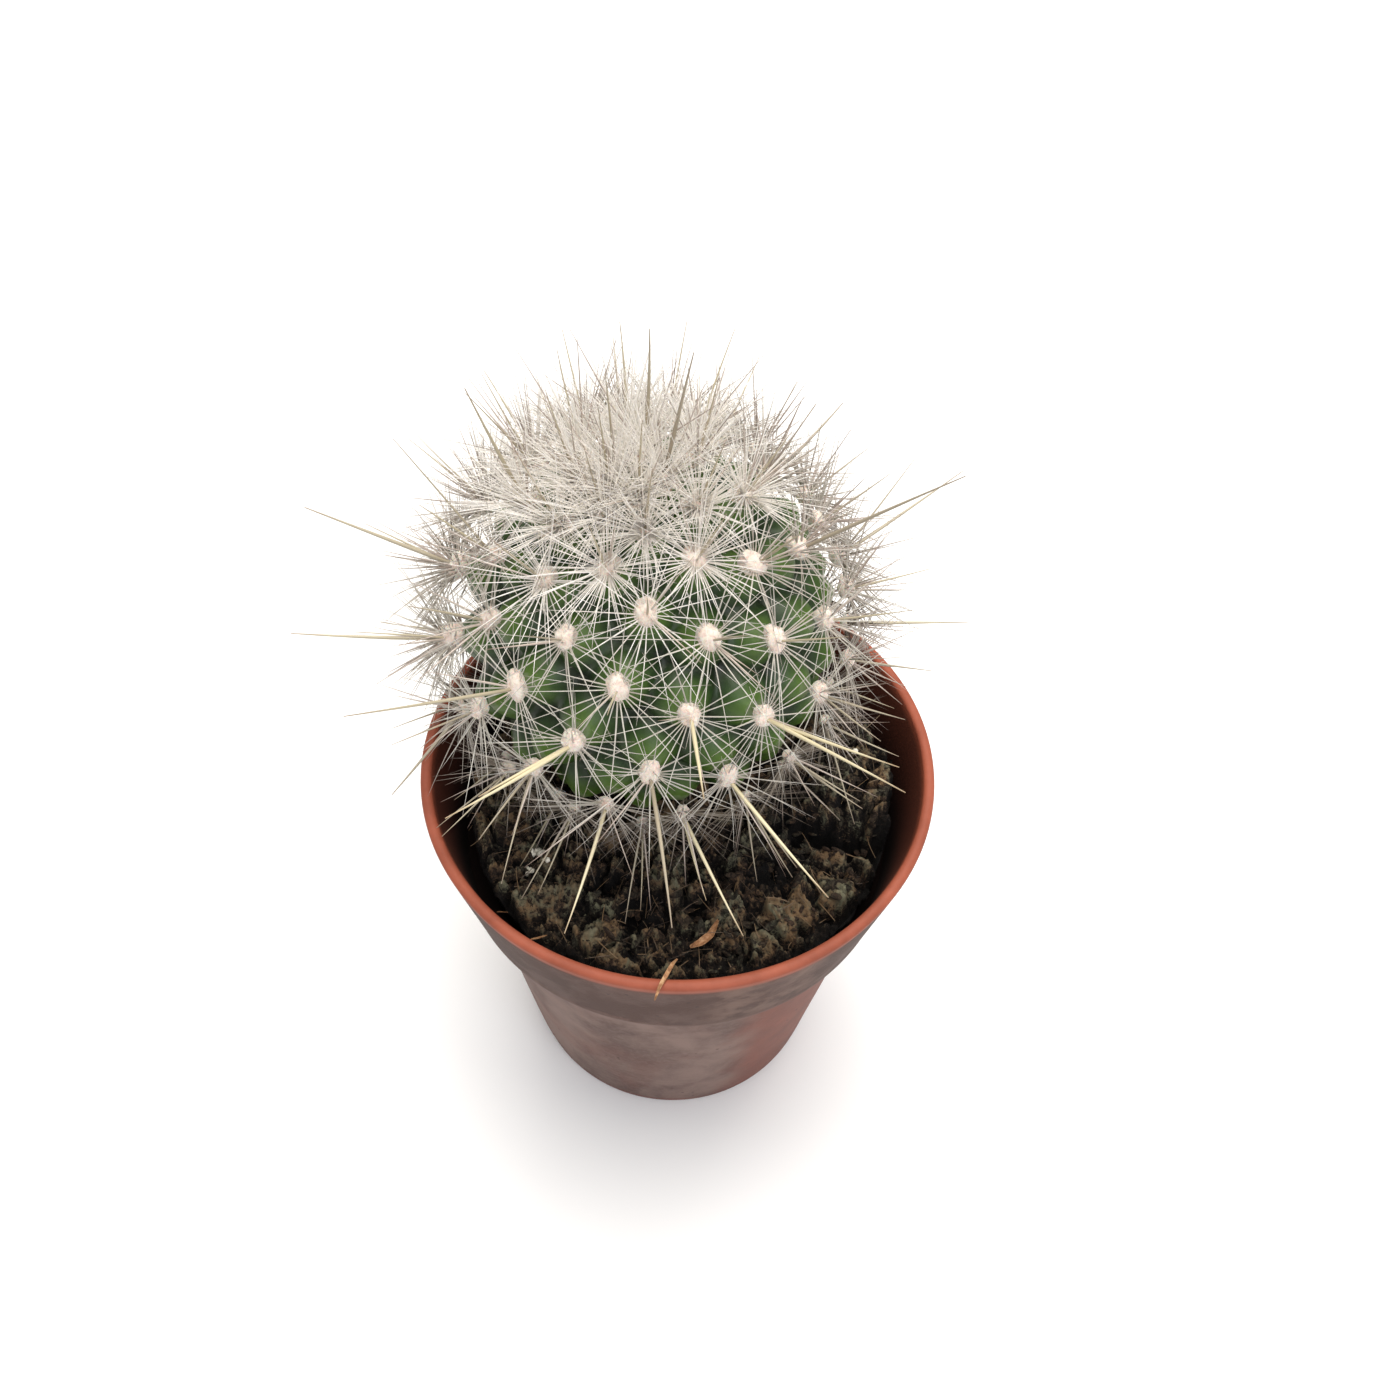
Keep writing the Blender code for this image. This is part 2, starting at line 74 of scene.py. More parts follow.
def linear_rgba(code: str) -> tuple[float, float, float, float]:
    """Turns an sRGB hex colour to linear RGBA.

    Args:
        code: six hex digits.

    Returns:
        Linear red, green and blue, and an alpha of one.
    """
    channels = [int(code[k : k + 2], 16) / 255 for k in (0, 2, 4)]
    lit = [c / 12.92 if c <= 0.04045 else ((c + 0.055) / 1.055) ** 2.4 for c in channels]
    return (lit[0], lit[1], lit[2], 1.0)


def smooth_step(low: float, high: float, value: float) -> float:
    """Smooth step of a value from 0 at low to 1 at high."""
    share = min(max((value - low) / (high - low), 0.0), 1.0)
    return share * share * (3 - 2 * share)


def mix(low: float, high: float, share: float) -> float:
    """Linear blend from low to high."""
    return low + (high - low) * share


def add_node(
    tree: bpy.types.NodeTree,
    kind: str,
    props: dict | None = None,
    values: dict | None = None,
    links: dict | None = None,
) -> bpy.types.Node:
    """Adds a node, sets it and links its inputs.

    Args:
        tree: the node tree.
        kind: the node's type name.
        props: node properties by name.
        values: input values by socket name or index.
        links: output sockets by the name or index of the input they feed.

    Returns:
        The new node.
    """
    node = tree.nodes.new(kind)
    for name, value in (props or {}).items():
        setattr(node, name, value)
    for name, value in (values or {}).items():
        node.inputs[name].default_value = value
    for name, source in (links or {}).items():
        tree.links.new(source, node.inputs[name])
    return node


def add_ramp(
    tree: bpy.types.NodeTree, source: bpy.types.NodeSocket, stops: list[tuple[float, str]]
) -> bpy.types.NodeSocket:
    """Adds a colour ramp on a value.

    Args:
        tree: the node tree.
        source: the value that drives it.
        stops: position and hex colour, from low to high.

    Returns:
        The ramp's colour output.
    """
    node = add_node(tree, "ShaderNodeValToRGB", links={"Fac": source})
    ramp = node.color_ramp
    while len(ramp.elements) < len(stops):
        ramp.elements.new(1.0)
    for element, (place, code) in zip(ramp.elements, stops):
        element.position = place
        element.color = linear_rgba(code)
    return node.outputs["Color"]


def add_noise(
    tree: bpy.types.NodeTree,
    coords: bpy.types.NodeSocket,
    grain_mm: float,
    detail: float = 3.0,
    distortion: float = 0.0,
) -> bpy.types.NodeSocket:
    """Adds a noise whose blobs have a real size.

    Args:
        tree: the node tree.
        coords: coordinates in millimetres.
        grain_mm: size of the largest blobs.
        detail: octaves of finer noise.
        distortion: how much the blobs are pulled about.

    Returns:
        The noise value, centred on 0.5.
    """
    values = {"Scale": 1.0 / grain_mm, "Detail": detail, "Roughness": 0.6, "Distortion": distortion}
    return add_node(tree, "ShaderNodeTexNoise", values=values, links={"Vector": coords}).outputs["Fac"]


def add_range(
    tree: bpy.types.NodeTree,
    source: bpy.types.NodeSocket,
    low: float,
    high: float,
    to_low: float = 0.0,
    to_high: float = 1.0,
) -> bpy.types.NodeSocket:
    """Maps a value smoothly from one range to another, clamped.

    Args:
        tree: the node tree.
        source: the value.
        low: where the output is to_low.
        high: where the output is to_high.
        to_low: output at low.
        to_high: output at high.

    Returns:
        The mapped value.
    """
    values = {"From Min": low, "From Max": high, "To Min": to_low, "To Max": to_high}
    props = {"interpolation_type": "SMOOTHSTEP"}
    node = add_node(tree, "ShaderNodeMapRange", props, values, {"Value": source})
    return node.outputs["Result"]


def add_math(
    tree: bpy.types.NodeTree, kind: str, first: bpy.types.NodeSocket, second: bpy.types.NodeSocket | float
) -> bpy.types.NodeSocket:
    """Adds a two-input math node, clamped to 0..1.

    Args:
        tree: the node tree.
        kind: the operation.
        first: the first input.
        second: the second input, a socket or a number.

    Returns:
        The result.
    """
    node = add_node(tree, "ShaderNodeMath", {"operation": kind, "use_clamp": True}, links={0: first})
    if isinstance(second, (int, float)):
        node.inputs[1].default_value = second
    else:
        tree.links.new(second, node.inputs[1])
    return node.outputs[0]


def add_mix(
    tree: bpy.types.NodeTree,
    share: bpy.types.NodeSocket,
    first: bpy.types.NodeSocket | str,
    second: bpy.types.NodeSocket | str,
    blend: str = "MIX",
) -> bpy.types.NodeSocket:
    """Mixes two colours, each a socket or a hex code.

    Args:
        tree: the node tree.
        share: how much of the second shows.
        first: the first colour.
        second: the second colour.
        blend: the blend type.

    Returns:
        The mixed colour.
    """
    props = {"data_type": "RGBA", "blend_type": blend}
    node = add_node(tree, "ShaderNodeMix", props, links={"Factor": share})
    for socket, colour in ((node.inputs[6], first), (node.inputs[7], second)):
        if isinstance(colour, str):
            socket.default_value = linear_rgba(colour)
        else:
            tree.links.new(colour, socket)
    return node.outputs[2]


def new_mesh_object(name: str, mesh: bpy.types.Mesh) -> bpy.types.Object:
    """Links a mesh to the scene as a new object at the origin."""
    obj = bpy.data.objects.new(name, mesh)
    bpy.context.scene.collection.objects.link(obj)
    return obj


def plain_mesh(obj: bpy.types.Object, name: str) -> bpy.types.Object:
    """Replaces an object by a new one that holds its evaluated mesh and no modifiers.

    Args:
        obj: the object with its modifiers.
        name: name of the new object.

    Returns:
        The new object.
    """
    graph = bpy.context.evaluated_depsgraph_get()
    mesh = bpy.data.meshes.new_from_object(obj.evaluated_get(graph), depsgraph=graph)
    mesh.name = name
    bpy.data.objects.remove(obj, do_unlink=True)
    return new_mesh_object(name, mesh)


def finish_piece(obj: bpy.types.Object, slot: Slot, replaces: list[str] | None = None) -> bpy.types.Object:
    """Parents a finished piece to its body, hides the CAD nodes it stands for and logs it.

    Args:
        obj: the piece.
        slot: the record slot of its finish, named in the log.
        replaces: the CAD nodes that it stands for.

    Returns:
        The piece.
    """
    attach(obj, BODY)
    if replaces:
        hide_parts(*replaces)
    LOG.info("%s: %d faces, slot %s", obj.name, len(obj.data.polygons), slot.value)
    return obj


# ---------------------------------------------------------------- finishes


@dataclass(frozen=True)
class Finish:
    """A surface finish: one Principled material with its own nodes."""

    name: str = "finish"

    def material(self) -> bpy.types.Material:
        """Returns the material, made on first use."""
        if self.name in bpy.data.materials:
            return bpy.data.materials[self.name]
        made = bpy.data.materials.new(self.name)
        made.use_nodes = True
        tree = made.node_tree
        tree.nodes.clear()
        shader = add_node(tree, "ShaderNodeBsdfPrincipled")
        add_node(tree, "ShaderNodeOutputMaterial", links={"Surface": shader.outputs["BSDF"]})
        self.dress(tree, shader.inputs)
        return made

    def dress(self, tree: bpy.types.NodeTree, sockets: bpy.types.NodeInputs) -> None:
        """Sets and links the shader's sockets."""
        raise NotImplementedError

    @staticmethod
    def coords_mm(tree: bpy.types.NodeTree) -> bpy.types.NodeSocket:
        """Object coordinates in millimetres."""
        place = add_node(tree, "ShaderNodeTexCoord")
        links = {0: place.outputs["Object"]}
        node = add_node(tree, "ShaderNodeVectorMath", {"operation": "SCALE"}, {"Scale": 1 / MM}, links)
        return node.outputs["Vector"]

    @staticmethod
    def bump(
        tree: bpy.types.NodeTree,
        sockets: bpy.types.NodeInputs,
        height: bpy.types.NodeSocket,
        depth_mm: float,
        strength: float = 1.0,
    ) -> None:
        """Feeds a height into the shader's normal.

        Args:
            tree: the node tree.
            sockets: the shader's inputs.
            height: height from 0 to 1.
            depth_mm: real depth of the relief.
            strength: share of the relief that shows.
        """
        values = {"Distance": depth_mm * MM, "Strength": strength}
        node = add_node(tree, "ShaderNodeBump", values=values, links={"Height": height})
        tree.links.new(node.outputs["Normal"], sockets["Normal"])


@dataclass(frozen=True)
class DustyPolypropylene(Finish):
    """Injection-moulded terracotta polypropylene under a film of hard-water dust.

    The clean plastic shows warm and matt on the lip, darker below it and inside by painted shade, and the film turns
    the wall mauve-grey, darker on the collar by painted shade.
    """

    name: str = "terracotta_polypropylene"
    clay: str = "a15640"
    clay_dark: str = "854532"
    film: str = "594640"
    film_pale: str = "7d6860"
    film_collar_shade: str = "3e2921"
    scuff: str = "725b50"
    grime_and_shade: str = "33221e"
    inside: str = "5a2d1f"
    inside_deep_shade: str = "180b08"
    lip_height: float = 50.7
    collar_foot: float = 37.9

    def dress(self, tree: bpy.types.NodeTree, sockets: bpy.types.NodeInputs) -> None:
        """Clean clay darkened below the lip by painted shade, then the film with its blotches, painted shade on the
        collar, a dark band along the collar's foot (partly a waterline of dirt, partly painted shade), specks of
        dirt and painted shade inside.
        """
        coords = self.coords_mm(tree)
        axes = add_node(tree, "ShaderNodeSeparateXYZ", links={0: coords}).outputs
        tone = add_noise(tree, coords, 5.0, 5.0)
        clean = add_ramp(tree, tone, [(0.3, self.clay_dark), (0.7, self.clay)])
        # Painted shade: the clean clay darkens just below the lip and stays half darkened over the body, where it
        # shows through worn film.
        low = add_range(tree, axes["Z"], self.lip_height - 1.0, self.lip_height - 3.0, 0.0, 0.5)
        clean = add_mix(tree, low, clean, self.grime_and_shade)
        below_lip = add_range(tree, axes["Z"], self.lip_height, self.lip_height - 1.0)
        blotch = add_noise(tree, coords, 16.0, 3.0, 0.8)
        film = add_range(tree, blotch, 0.34, 0.56, 0.74, 0.96)
        foot_wear = add_range(tree, axes["Z"], 0.3, 2.2, 0.2, 1.0)
        wander = add_math_signed(tree, axes["X"], add_noise(tree, coords, 7.0, 4.0), 7.0)
        right_wear = add_range(tree, wander, 9.5, 14.5, 1.0, 0.15)
        above = add_range(tree, axes["Z"], 34.0, 38.0)
        behind = add_range(tree, axes["Y"], -8.0, 2.0)
        right_wear = add_math(tree, "MAXIMUM", right_wear, add_math(tree, "MAXIMUM", above, behind))
        ragged = add_math_signed(tree, axes["Z"], add_noise(tree, coords, 2.6, 5.0, 0.3), 4.0)
        collar = add_range(tree, ragged, self.collar_foot + 0.9, self.collar_foot + 3.2)
        film = add_math(tree, "MAXIMUM", film, add_math(tree, "MULTIPLY", collar, 0.92))
        film = add_math(tree, "MULTIPLY", film, below_lip)
        film = add_math(tree, "MULTIPLY", film, foot_wear)
        film = add_math(tree, "MULTIPLY", film, right_wear)
        fine = add_noise(tree, coords, 9.0, 10.0, 0.4)
        film_colour = add_ramp(tree, fine, [(0.38, self.film), (0.62, self.film_pale)])
        dusting = add_range(tree, add_noise(tree, coords, 0.7, 4.0), 0.4, 0.66, 0.0, 0.35)
        film_colour = add_mix(tree, dusting, film_colour, self.film_pale)
        patchy = add_range(tree, add_noise(tree, coords, 4.5, 7.0, 0.2), 0.42, 0.62, 0.0, 0.75)
        wiped = add_math(
            tree, "MULTIPLY", add_range(tree, axes["X"], 2.0, 7.0), add_range(tree, axes["X"], 18.0, 13.0)
        )
        wiped = add_math(tree, "MULTIPLY", wiped, add_range(tree, axes["Y"], -12.0, -18.0))
        scuff = add_math(tree, "MULTIPLY", patchy, wiped)
        # Painted shade on the collar: its film is darker, mottled by noise.
        collar_shade = add_range(tree, add_noise(tree, coords, 6.5, 6.0, 0.6), 0.38, 0.6, 0.66, 0.97)
        film_colour = add_mix(tree, add_math(tree, "MULTIPLY", collar, collar_shade), film_colour, self.film_collar_shade)
        film_colour = add_mix(tree, add_math(tree, "MULTIPLY", scuff, collar), film_colour, self.scuff)
        colour = add_mix(tree, film, clean, film_colour)
        # Dark wavy band along the collar's foot: partly a waterline of dirt, partly painted shade at the collar's
        # lower edge.
        wave = add_noise(tree, coords, 11.0, 2.0)
        level = add_math_signed(tree, axes["Z"], wave, 4.0)
        tide_shade_low = add_range(tree, level, self.collar_foot - 0.6, self.collar_foot + 1.6)
        tide_shade_high = add_range(tree, level, self.collar_foot + 3.6, self.collar_foot + 2.2)
        tide_and_shade = add_math(tree, "MULTIPLY", tide_shade_low, tide_shade_high)
        colour = add_mix(tree, add_math(tree, "MULTIPLY", tide_and_shade, 0.3), colour, self.grime_and_shade)
        specks = add_node(
            tree, "ShaderNodeTexVoronoi", values={"Scale": 0.6, "Randomness": 1.0}, links={"Vector": coords}
        ).outputs["Distance"]
        patch = add_range(tree, add_noise(tree, coords, 5.0, 3.0), 0.54, 0.62)
        speck = add_math(tree, "MULTIPLY", add_range(tree, specks, 0.17, 0.07), patch)
        speck = add_math(tree, "MULTIPLY", speck, below_lip)
        colour = add_mix(tree, add_math(tree, "MULTIPLY", speck, 0.8), colour, self.grime_and_shade)
        # Painted shade inside: the inner wall darkens towards the floor.
        inner = add_node(tree, "ShaderNodeAttribute", {"attribute_name": "inner"}).outputs["Fac"]
        depth = add_range(tree, axes["Z"], 40.0, 51.0)
        inside = add_mix(tree, depth, self.inside_deep_shade, self.inside)
        colour = add_mix(tree, inner, colour, inside)
        tree.links.new(colour, sockets["Base Color"])
        rough = add_range(tree, film, 0.0, 1.0, 0.6, 0.7)
        tree.links.new(rough, sockets["Roughness"])
        sockets["IOR"].default_value = 1.49
        sockets["Specular IOR Level"].default_value = 0.3
        grain = add_noise(tree, coords, 0.35, 5.0)
        self.bump(tree, sockets, grain, 0.05, 0.7)


def add_math_signed(
    tree: bpy.types.NodeTree, base: bpy.types.NodeSocket, wave: bpy.types.NodeSocket, amount: float
) -> bpy.types.NodeSocket:
    """Adds a wave, centred on one half, to a value without clamping.

    Args:
        tree: the node tree.
        base: the value.
        wave: the wave, from 0 to 1.
        amount: how far the wave moves the value.

    Returns:
        base + wave * amount.
    """
    node = add_node(
        tree, "ShaderNodeMath", {"operation": "MULTIPLY_ADD"}, {1: amount}, {0: wave, 2: base}
    )
    return node.outputs[0]


@dataclass(frozen=True)
class PeatCompost(Finish):
    """Dried peat compost: hollows painted near-black as shade, brown fibre and grey-green algae on what stands
    proud.
    """

    name: str = "peat_compost"
    black: str = "0a0706"
    dark: str = "211914"
    brown: str = "4b3a2e"
    fibre: str = "7c6449"
    algae_dark: str = "38372d"
    algae: str = "787661"
    lifted: bool = True

    def dress(self, tree: bpy.types.NodeTree, sockets: bpy.types.NodeInputs) -> None:
        """Brown fibre and grey-green algae, both by how far a place stands out of the hollows, with painted shade:
        the lower, the darker.
        """
        coords = self.coords_mm(tree)
        grain = add_noise(tree, coords, 0.5, 8.0, 1.4)
        level = grain
        if self.lifted:
            lift = add_node(tree, "ShaderNodeAttribute", {"attribute_name": "lift"}).outputs["Fac"]
            level = add_math_signed(tree, lift, grain, 1.5)
            level = add_range(tree, level, 0.68, 1.9)
        # Where the lift drives them, the low ends of both ramps are painted shade: near-black in the hollows, by the
        # pot wall and round the neck.
        peat = add_ramp(
            tree, level, [(0.16, self.black), (0.4, self.dark), (0.6, self.brown), (0.85, self.fibre)]
        )
        moss = add_ramp(
            tree, level, [(0.16, self.black), (0.4, self.dark), (0.56, self.algae_dark), (0.84, self.algae)]
        )
        patch = add_range(tree, add_noise(tree, coords, 3.2, 6.0, 0.9), 0.4, 0.64)
        colour = add_mix(tree, patch, peat, moss)
        fleck = add_range(tree, add_noise(tree, coords, 0.5, 2.0, 2.2), 0.68, 0.76, 0.0, 0.45)
        colour = add_mix(tree, fleck, colour, self.fibre)
        tree.links.new(colour, sockets["Base Color"])
        sockets["Roughness"].default_value = 0.85
        sockets["Specular IOR Level"].default_value = 0.3
        relief = add_noise(tree, coords, 0.5, 8.0, 1.2)
        self.bump(tree, sockets, relief, 0.5, 1.0)


@dataclass(frozen=True)
class LivingSkin(Finish):
    """Living cactus epidermis: satin, dark green in the grooves as painted shade and a lit green painted on the
    tubercles.
    """

    name: str = "cactus_epidermis"
    groove_shade: str = "131e0d"
    green: str = "284219"
    lit_green: str = "52702a"
    waxy: str = "6a7c52"

    def dress(self, tree: bpy.types.NodeTree, sockets: bpy.types.NodeInputs) -> None:
        """Colour by how far out on its tubercle a point lies, painting light and shade, with fine pores."""
        coords = self.coords_mm(tree)
        rise = add_node(tree, "ShaderNodeAttribute", {"attribute_name": "rise"}).outputs["Fac"]
        mottle = add_noise(tree, coords, 1.6, 5.0, 0.4)
        level = add_math_signed(tree, rise, mottle, 0.35)
        # Painted light and shade: groove shade in the grooves and creases, lit green on the tubercles, waxy at the
        # very top.
        colour = add_ramp(
            tree, level, [(0.2, self.groove_shade), (0.55, self.green), (0.95, self.lit_green), (1.0, self.waxy)]
        )
        tree.links.new(colour, sockets["Base Color"])
        sockets["Roughness"].default_value = 0.42
        sockets["Subsurface Weight"].default_value = 0.12
        sockets["Subsurface Radius"].default_value = (0.4, 1.0, 0.25)
        sockets["Subsurface Scale"].default_value = 0.8 * MM
        sockets["Specular IOR Level"].default_value = 0.45
        pores = add_noise(tree, coords, 0.22, 3.0)
        self.bump(tree, sockets, pores, 0.03, 0.7)


@dataclass(frozen=True)
class AreoleFelt(Finish):
    """Areole wool: matted cream hairs, faintly pink where the spines come through."""

    name: str = "areole_wool"
    cream: str = "f5ede0"
    blush: str = "ead8ca"
    shade: str = "cdb5a4"

    def dress(self, tree: bpy.types.NodeTree, sockets: bpy.types.NodeInputs) -> None:
        """Cream felt with soft mottling."""
        coords = self.coords_mm(tree)
        tufts = add_noise(tree, coords, 0.5, 4.0, 0.5)
        colour = add_ramp(tree, tufts, [(0.25, self.shade), (0.45, self.blush), (0.65, self.cream)])
        tree.links.new(colour, sockets["Base Color"])
        sockets["Roughness"].default_value = 0.95
        sockets["Sheen Weight"].default_value = 0.4
        sockets["Sheen Roughness"].default_value = 0.6
        sockets["Subsurface Weight"].default_value = 0.25
        sockets["Subsurface Scale"].default_value = 0.5 * MM
        self.bump(tree, sockets, tufts, 0.2, 0.8)


@dataclass(frozen=True)
class SpineHorn(Finish):
    """Spine tissue, hard and horn-like: glossy and faintly translucent.

    The colour runs from root to tip and differs a little from spine to spine; the duller colour also serves as
    painted shade on spines turned from the front.
    """

    name: str = "white_spine_horn"
    root: str = "d2c8ba"
    shaft: str = "cbc7bd"
    tip: str = "c3b5a8"
    dull_and_shade: str = "8a7b73"
    tip_start: float = 0.8
    translucency: float = 0.2

    def dress(self, tree: bpy.types.NodeTree, sockets: bpy.types.NodeInputs) -> None:
        """Colour along the spine, then its own tone, which carries both wear and painted shade."""
        spine = add_node(tree, "ShaderNodeUVMap", {"uv_map": SPINE_MAP})
        axes = add_node(tree, "ShaderNodeSeparateXYZ", links={0: spine.outputs["UV"]}).outputs
        colour = add_ramp(
            tree, axes["X"], [(0.0, self.root), (0.15, self.shaft), (self.tip_start, self.shaft), (1.0, self.tip)]
        )
        # The tone mixes in the duller colour: age, random wear and, on spines turned from the front, painted shade.
        colour = add_mix(tree, axes["Y"], colour, self.dull_and_shade)
        tree.links.new(colour, sockets["Base Color"])
        sockets["Roughness"].default_value = 0.38
        sockets["IOR"].default_value = 1.54
        sockets["Subsurface Weight"].default_value = self.translucency
        sockets["Subsurface Radius"].default_value = (1.0, 1.0, 0.8)
        sockets["Subsurface Scale"].default_value = 0.3 * MM


@dataclass(frozen=True)
class PuffedPerlite(Finish):
    """Expanded perlite: a chalky white froth of glass, stained cream by the peat."""

    name: str = "puffed_perlite"
    white: str = "f6f0df"
    stain: str = "d9c7a8"

    def dress(self, tree: bpy.types.NodeTree, sockets: bpy.types.NodeInputs) -> None:
        """Chalk white with stained pits."""
        coords = self.coords_mm(tree)
        pits = add_noise(tree, coords, 0.5, 5.0, 0.6)
        colour = add_ramp(tree, pits, [(0.24, self.stain), (0.4, self.white)])
        tree.links.new(colour, sockets["Base Color"])
        sockets["Roughness"].default_value = 0.9
        self.bump(tree, sockets, pits, 0.2, 0.9)


@dataclass(frozen=True)
class DryChaff(Finish):
    """Dry husk and straw: papery tan with long darker streaks."""

    name: str = "dry_chaff"
    tan: str = "9c6f4a"
    pale: str = "c2a07a"
    dark: str = "5e402a"

    def dress(self, tree: bpy.types.NodeTree, sockets: bpy.types.NodeInputs) -> None:
        """Streaks from stretched noise."""
        coords = self.coords_mm(tree)
        mapping = add_node(tree, "ShaderNodeMapping", values={"Scale": (1, 1, 3)}, links={"Vector": coords})
        streaks = add_noise(tree, mapping.outputs["Vector"], 0.6, 5.0, 0.8)
        colour = add_ramp(tree, streaks, [(0.3, self.dark), (0.5, self.tan), (0.72, self.pale)])
        tree.links.new(colour, sockets["Base Color"])
        sockets["Roughness"].default_value = 0.7
        self.bump(tree, sockets, streaks, 0.08, 0.8)


@dataclass(frozen=True)
class StudioPaper(Finish):
    """Matt white paper for the floor."""

    name: str = "studio_paper"
    white: str = "f7f7f7"

    def dress(self, tree: bpy.types.NodeTree, sockets: bpy.types.NodeInputs) -> None:
        """Even white."""
        sockets["Base Color"].default_value = linear_rgba(self.white)
        sockets["Roughness"].default_value = 0.9
        sockets["Specular IOR Level"].default_value = 0.1


POT_PLASTIC = DustyPolypropylene()
COMPOST = PeatCompost()
LOOSE_PEAT = PeatCompost("loose_peat_crumbs", black="1a1410", lifted=False)
SKIN = LivingSkin()
WOOL = AreoleFelt()
WHITE_HORN = SpineHorn()
CROWN_HORN = SpineHorn("young_spine_horn", "f8f1e6", "fbf7ef", "f0e4d9", "cbbbb0", translucency=0.35)
TAN_HORN = SpineHorn("tan_spine_horn", "e0d6ca", "ccbfb4", "8f7668", "94847c", tip_start=0.55, translucency=0.1)
STRAW_HORN = SpineHorn(
    "straw_spine_horn", "cfc19b", "dcd1ae", "a98f6f", "857a6f", tip_start=0.75, translucency=0.06
)
OLD_HORN = SpineHorn(
    "old_spine_horn", "998c7d", "aaa092", "85786d", "6a5e54", tip_start=0.7, translucency=0.04
)
FIBRE_HORN = SpineHorn("peat_fibre", "5f4c39", "83694a", "9c8262", "2a201a", tip_start=0.6, translucency=0.0)
WOOL_HAIR = SpineHorn("areole_hair", "e6d8cb", "efe6dc", "f2ebe2", "c4b09e", translucency=0.2)
PERLITE = PuffedPerlite()
CHAFF = DryChaff()
PAPER = StudioPaper()


# ---------------------------------------------------------------- growth by geometry nodes


@dataclass
class Needle:
    """One spine, hair or fibre.

    Attributes:
        root: where it starts.
        direction: unit vector along it.
        length: its length.
        radius: its radius at the root.
        bow: how far its tip is bent off the straight line.
        tone: 0 for the clean colour, 1 for the duller one, which also paints shade.
    """

    root: Vector
    direction: Vector
    length: float
    radius: float
    bow: Vector
    tone: float

    def tip(self) -> Vector:
        """The bent tip."""
        return self.root + self.direction * self.length + self.bow


class NodeGroup:
    """A geometry node tree with named inputs."""

    def __init__(self, name: str, inputs: dict[str, tuple[str, object]]) -> None:
        """Makes the tree's interface.

        Args:
            name: the tree's name.
            inputs: socket type and default by input name.
        """
        self.tree = bpy.data.node_groups.new(name, "GeometryNodeTree")
        self.tree.interface.new_socket("Geometry", in_out="INPUT", socket_type="NodeSocketGeometry")
        self.tree.interface.new_socket("Geometry", in_out="OUTPUT", socket_type="NodeSocketGeometry")
        self.identifiers: dict[str, str] = {}
        for label, (kind, default) in inputs.items():
            socket = self.tree.interface.new_socket(label, in_out="INPUT", socket_type=kind)
            if default is not None:
                socket.default_value = default
            self.identifiers[label] = socket.identifier
        self.given = self.add("NodeGroupInput").outputs

    def add(
        self, kind: str, props: dict | None = None, values: dict | None = None, links: dict | None = None
    ) -> bpy.types.Node:
        """Adds a node to the tree."""
        return add_node(self.tree, kind, props, values, links)

    def close(self, geometry: bpy.types.NodeSocket) -> None:
        """Realizes the instances, sets the material and ends the tree.

        Args:
            geometry: the geometry to put out, already real where it needs to be.
        """
        real = self.add("GeometryNodeRealizeInstances", links={"Geometry": geometry})
        smooth = self.add(
            "GeometryNodeSetShadeSmooth",
            links={"Geometry": real.outputs["Geometry"], "Shade Smooth": self.given["Smooth"]},
        )
        dressed = self.add(
            "GeometryNodeSetMaterial",
            links={"Geometry": smooth.outputs["Geometry"], "Material": self.given["Material"]},
        )
        self.add("NodeGroupOutput", links={"Geometry": dressed.outputs["Geometry"]})

    def grow(self, points: bpy.types.Object, name: str, sizes: dict[str, object]) -> bpy.types.Object:
        """Runs the tree on an object of points and returns the plain mesh.

        Args:
            points: the object that holds the points.
            name: name of the result.
            sizes: input values by name.

        Returns:
            The new object.
        """
        modifier = points.modifiers.new("Growth", "NODES")
        modifier.node_group = self.tree
        for label, value in sizes.items():
            modifier[self.identifiers[label]] = value
        points.update_tag()
        bpy.context.view_layer.update()
        grown = plain_mesh(points, name)
        for leftover in ("turn", "size", "bow", "tone", "along", "around"):
            attribute = grown.data.attributes.get(leftover)
            if attribute:
                grown.data.attributes.remove(attribute)
        return grown


def named(group: NodeGroup, label: str, kind: str) -> bpy.types.NodeSocket:
    """Reads a named attribute inside a geometry node tree."""
    node = group.add("GeometryNodeInputNamedAttribute", {"data_type": kind}, {"Name": label})
    return node.outputs["Attribute"]


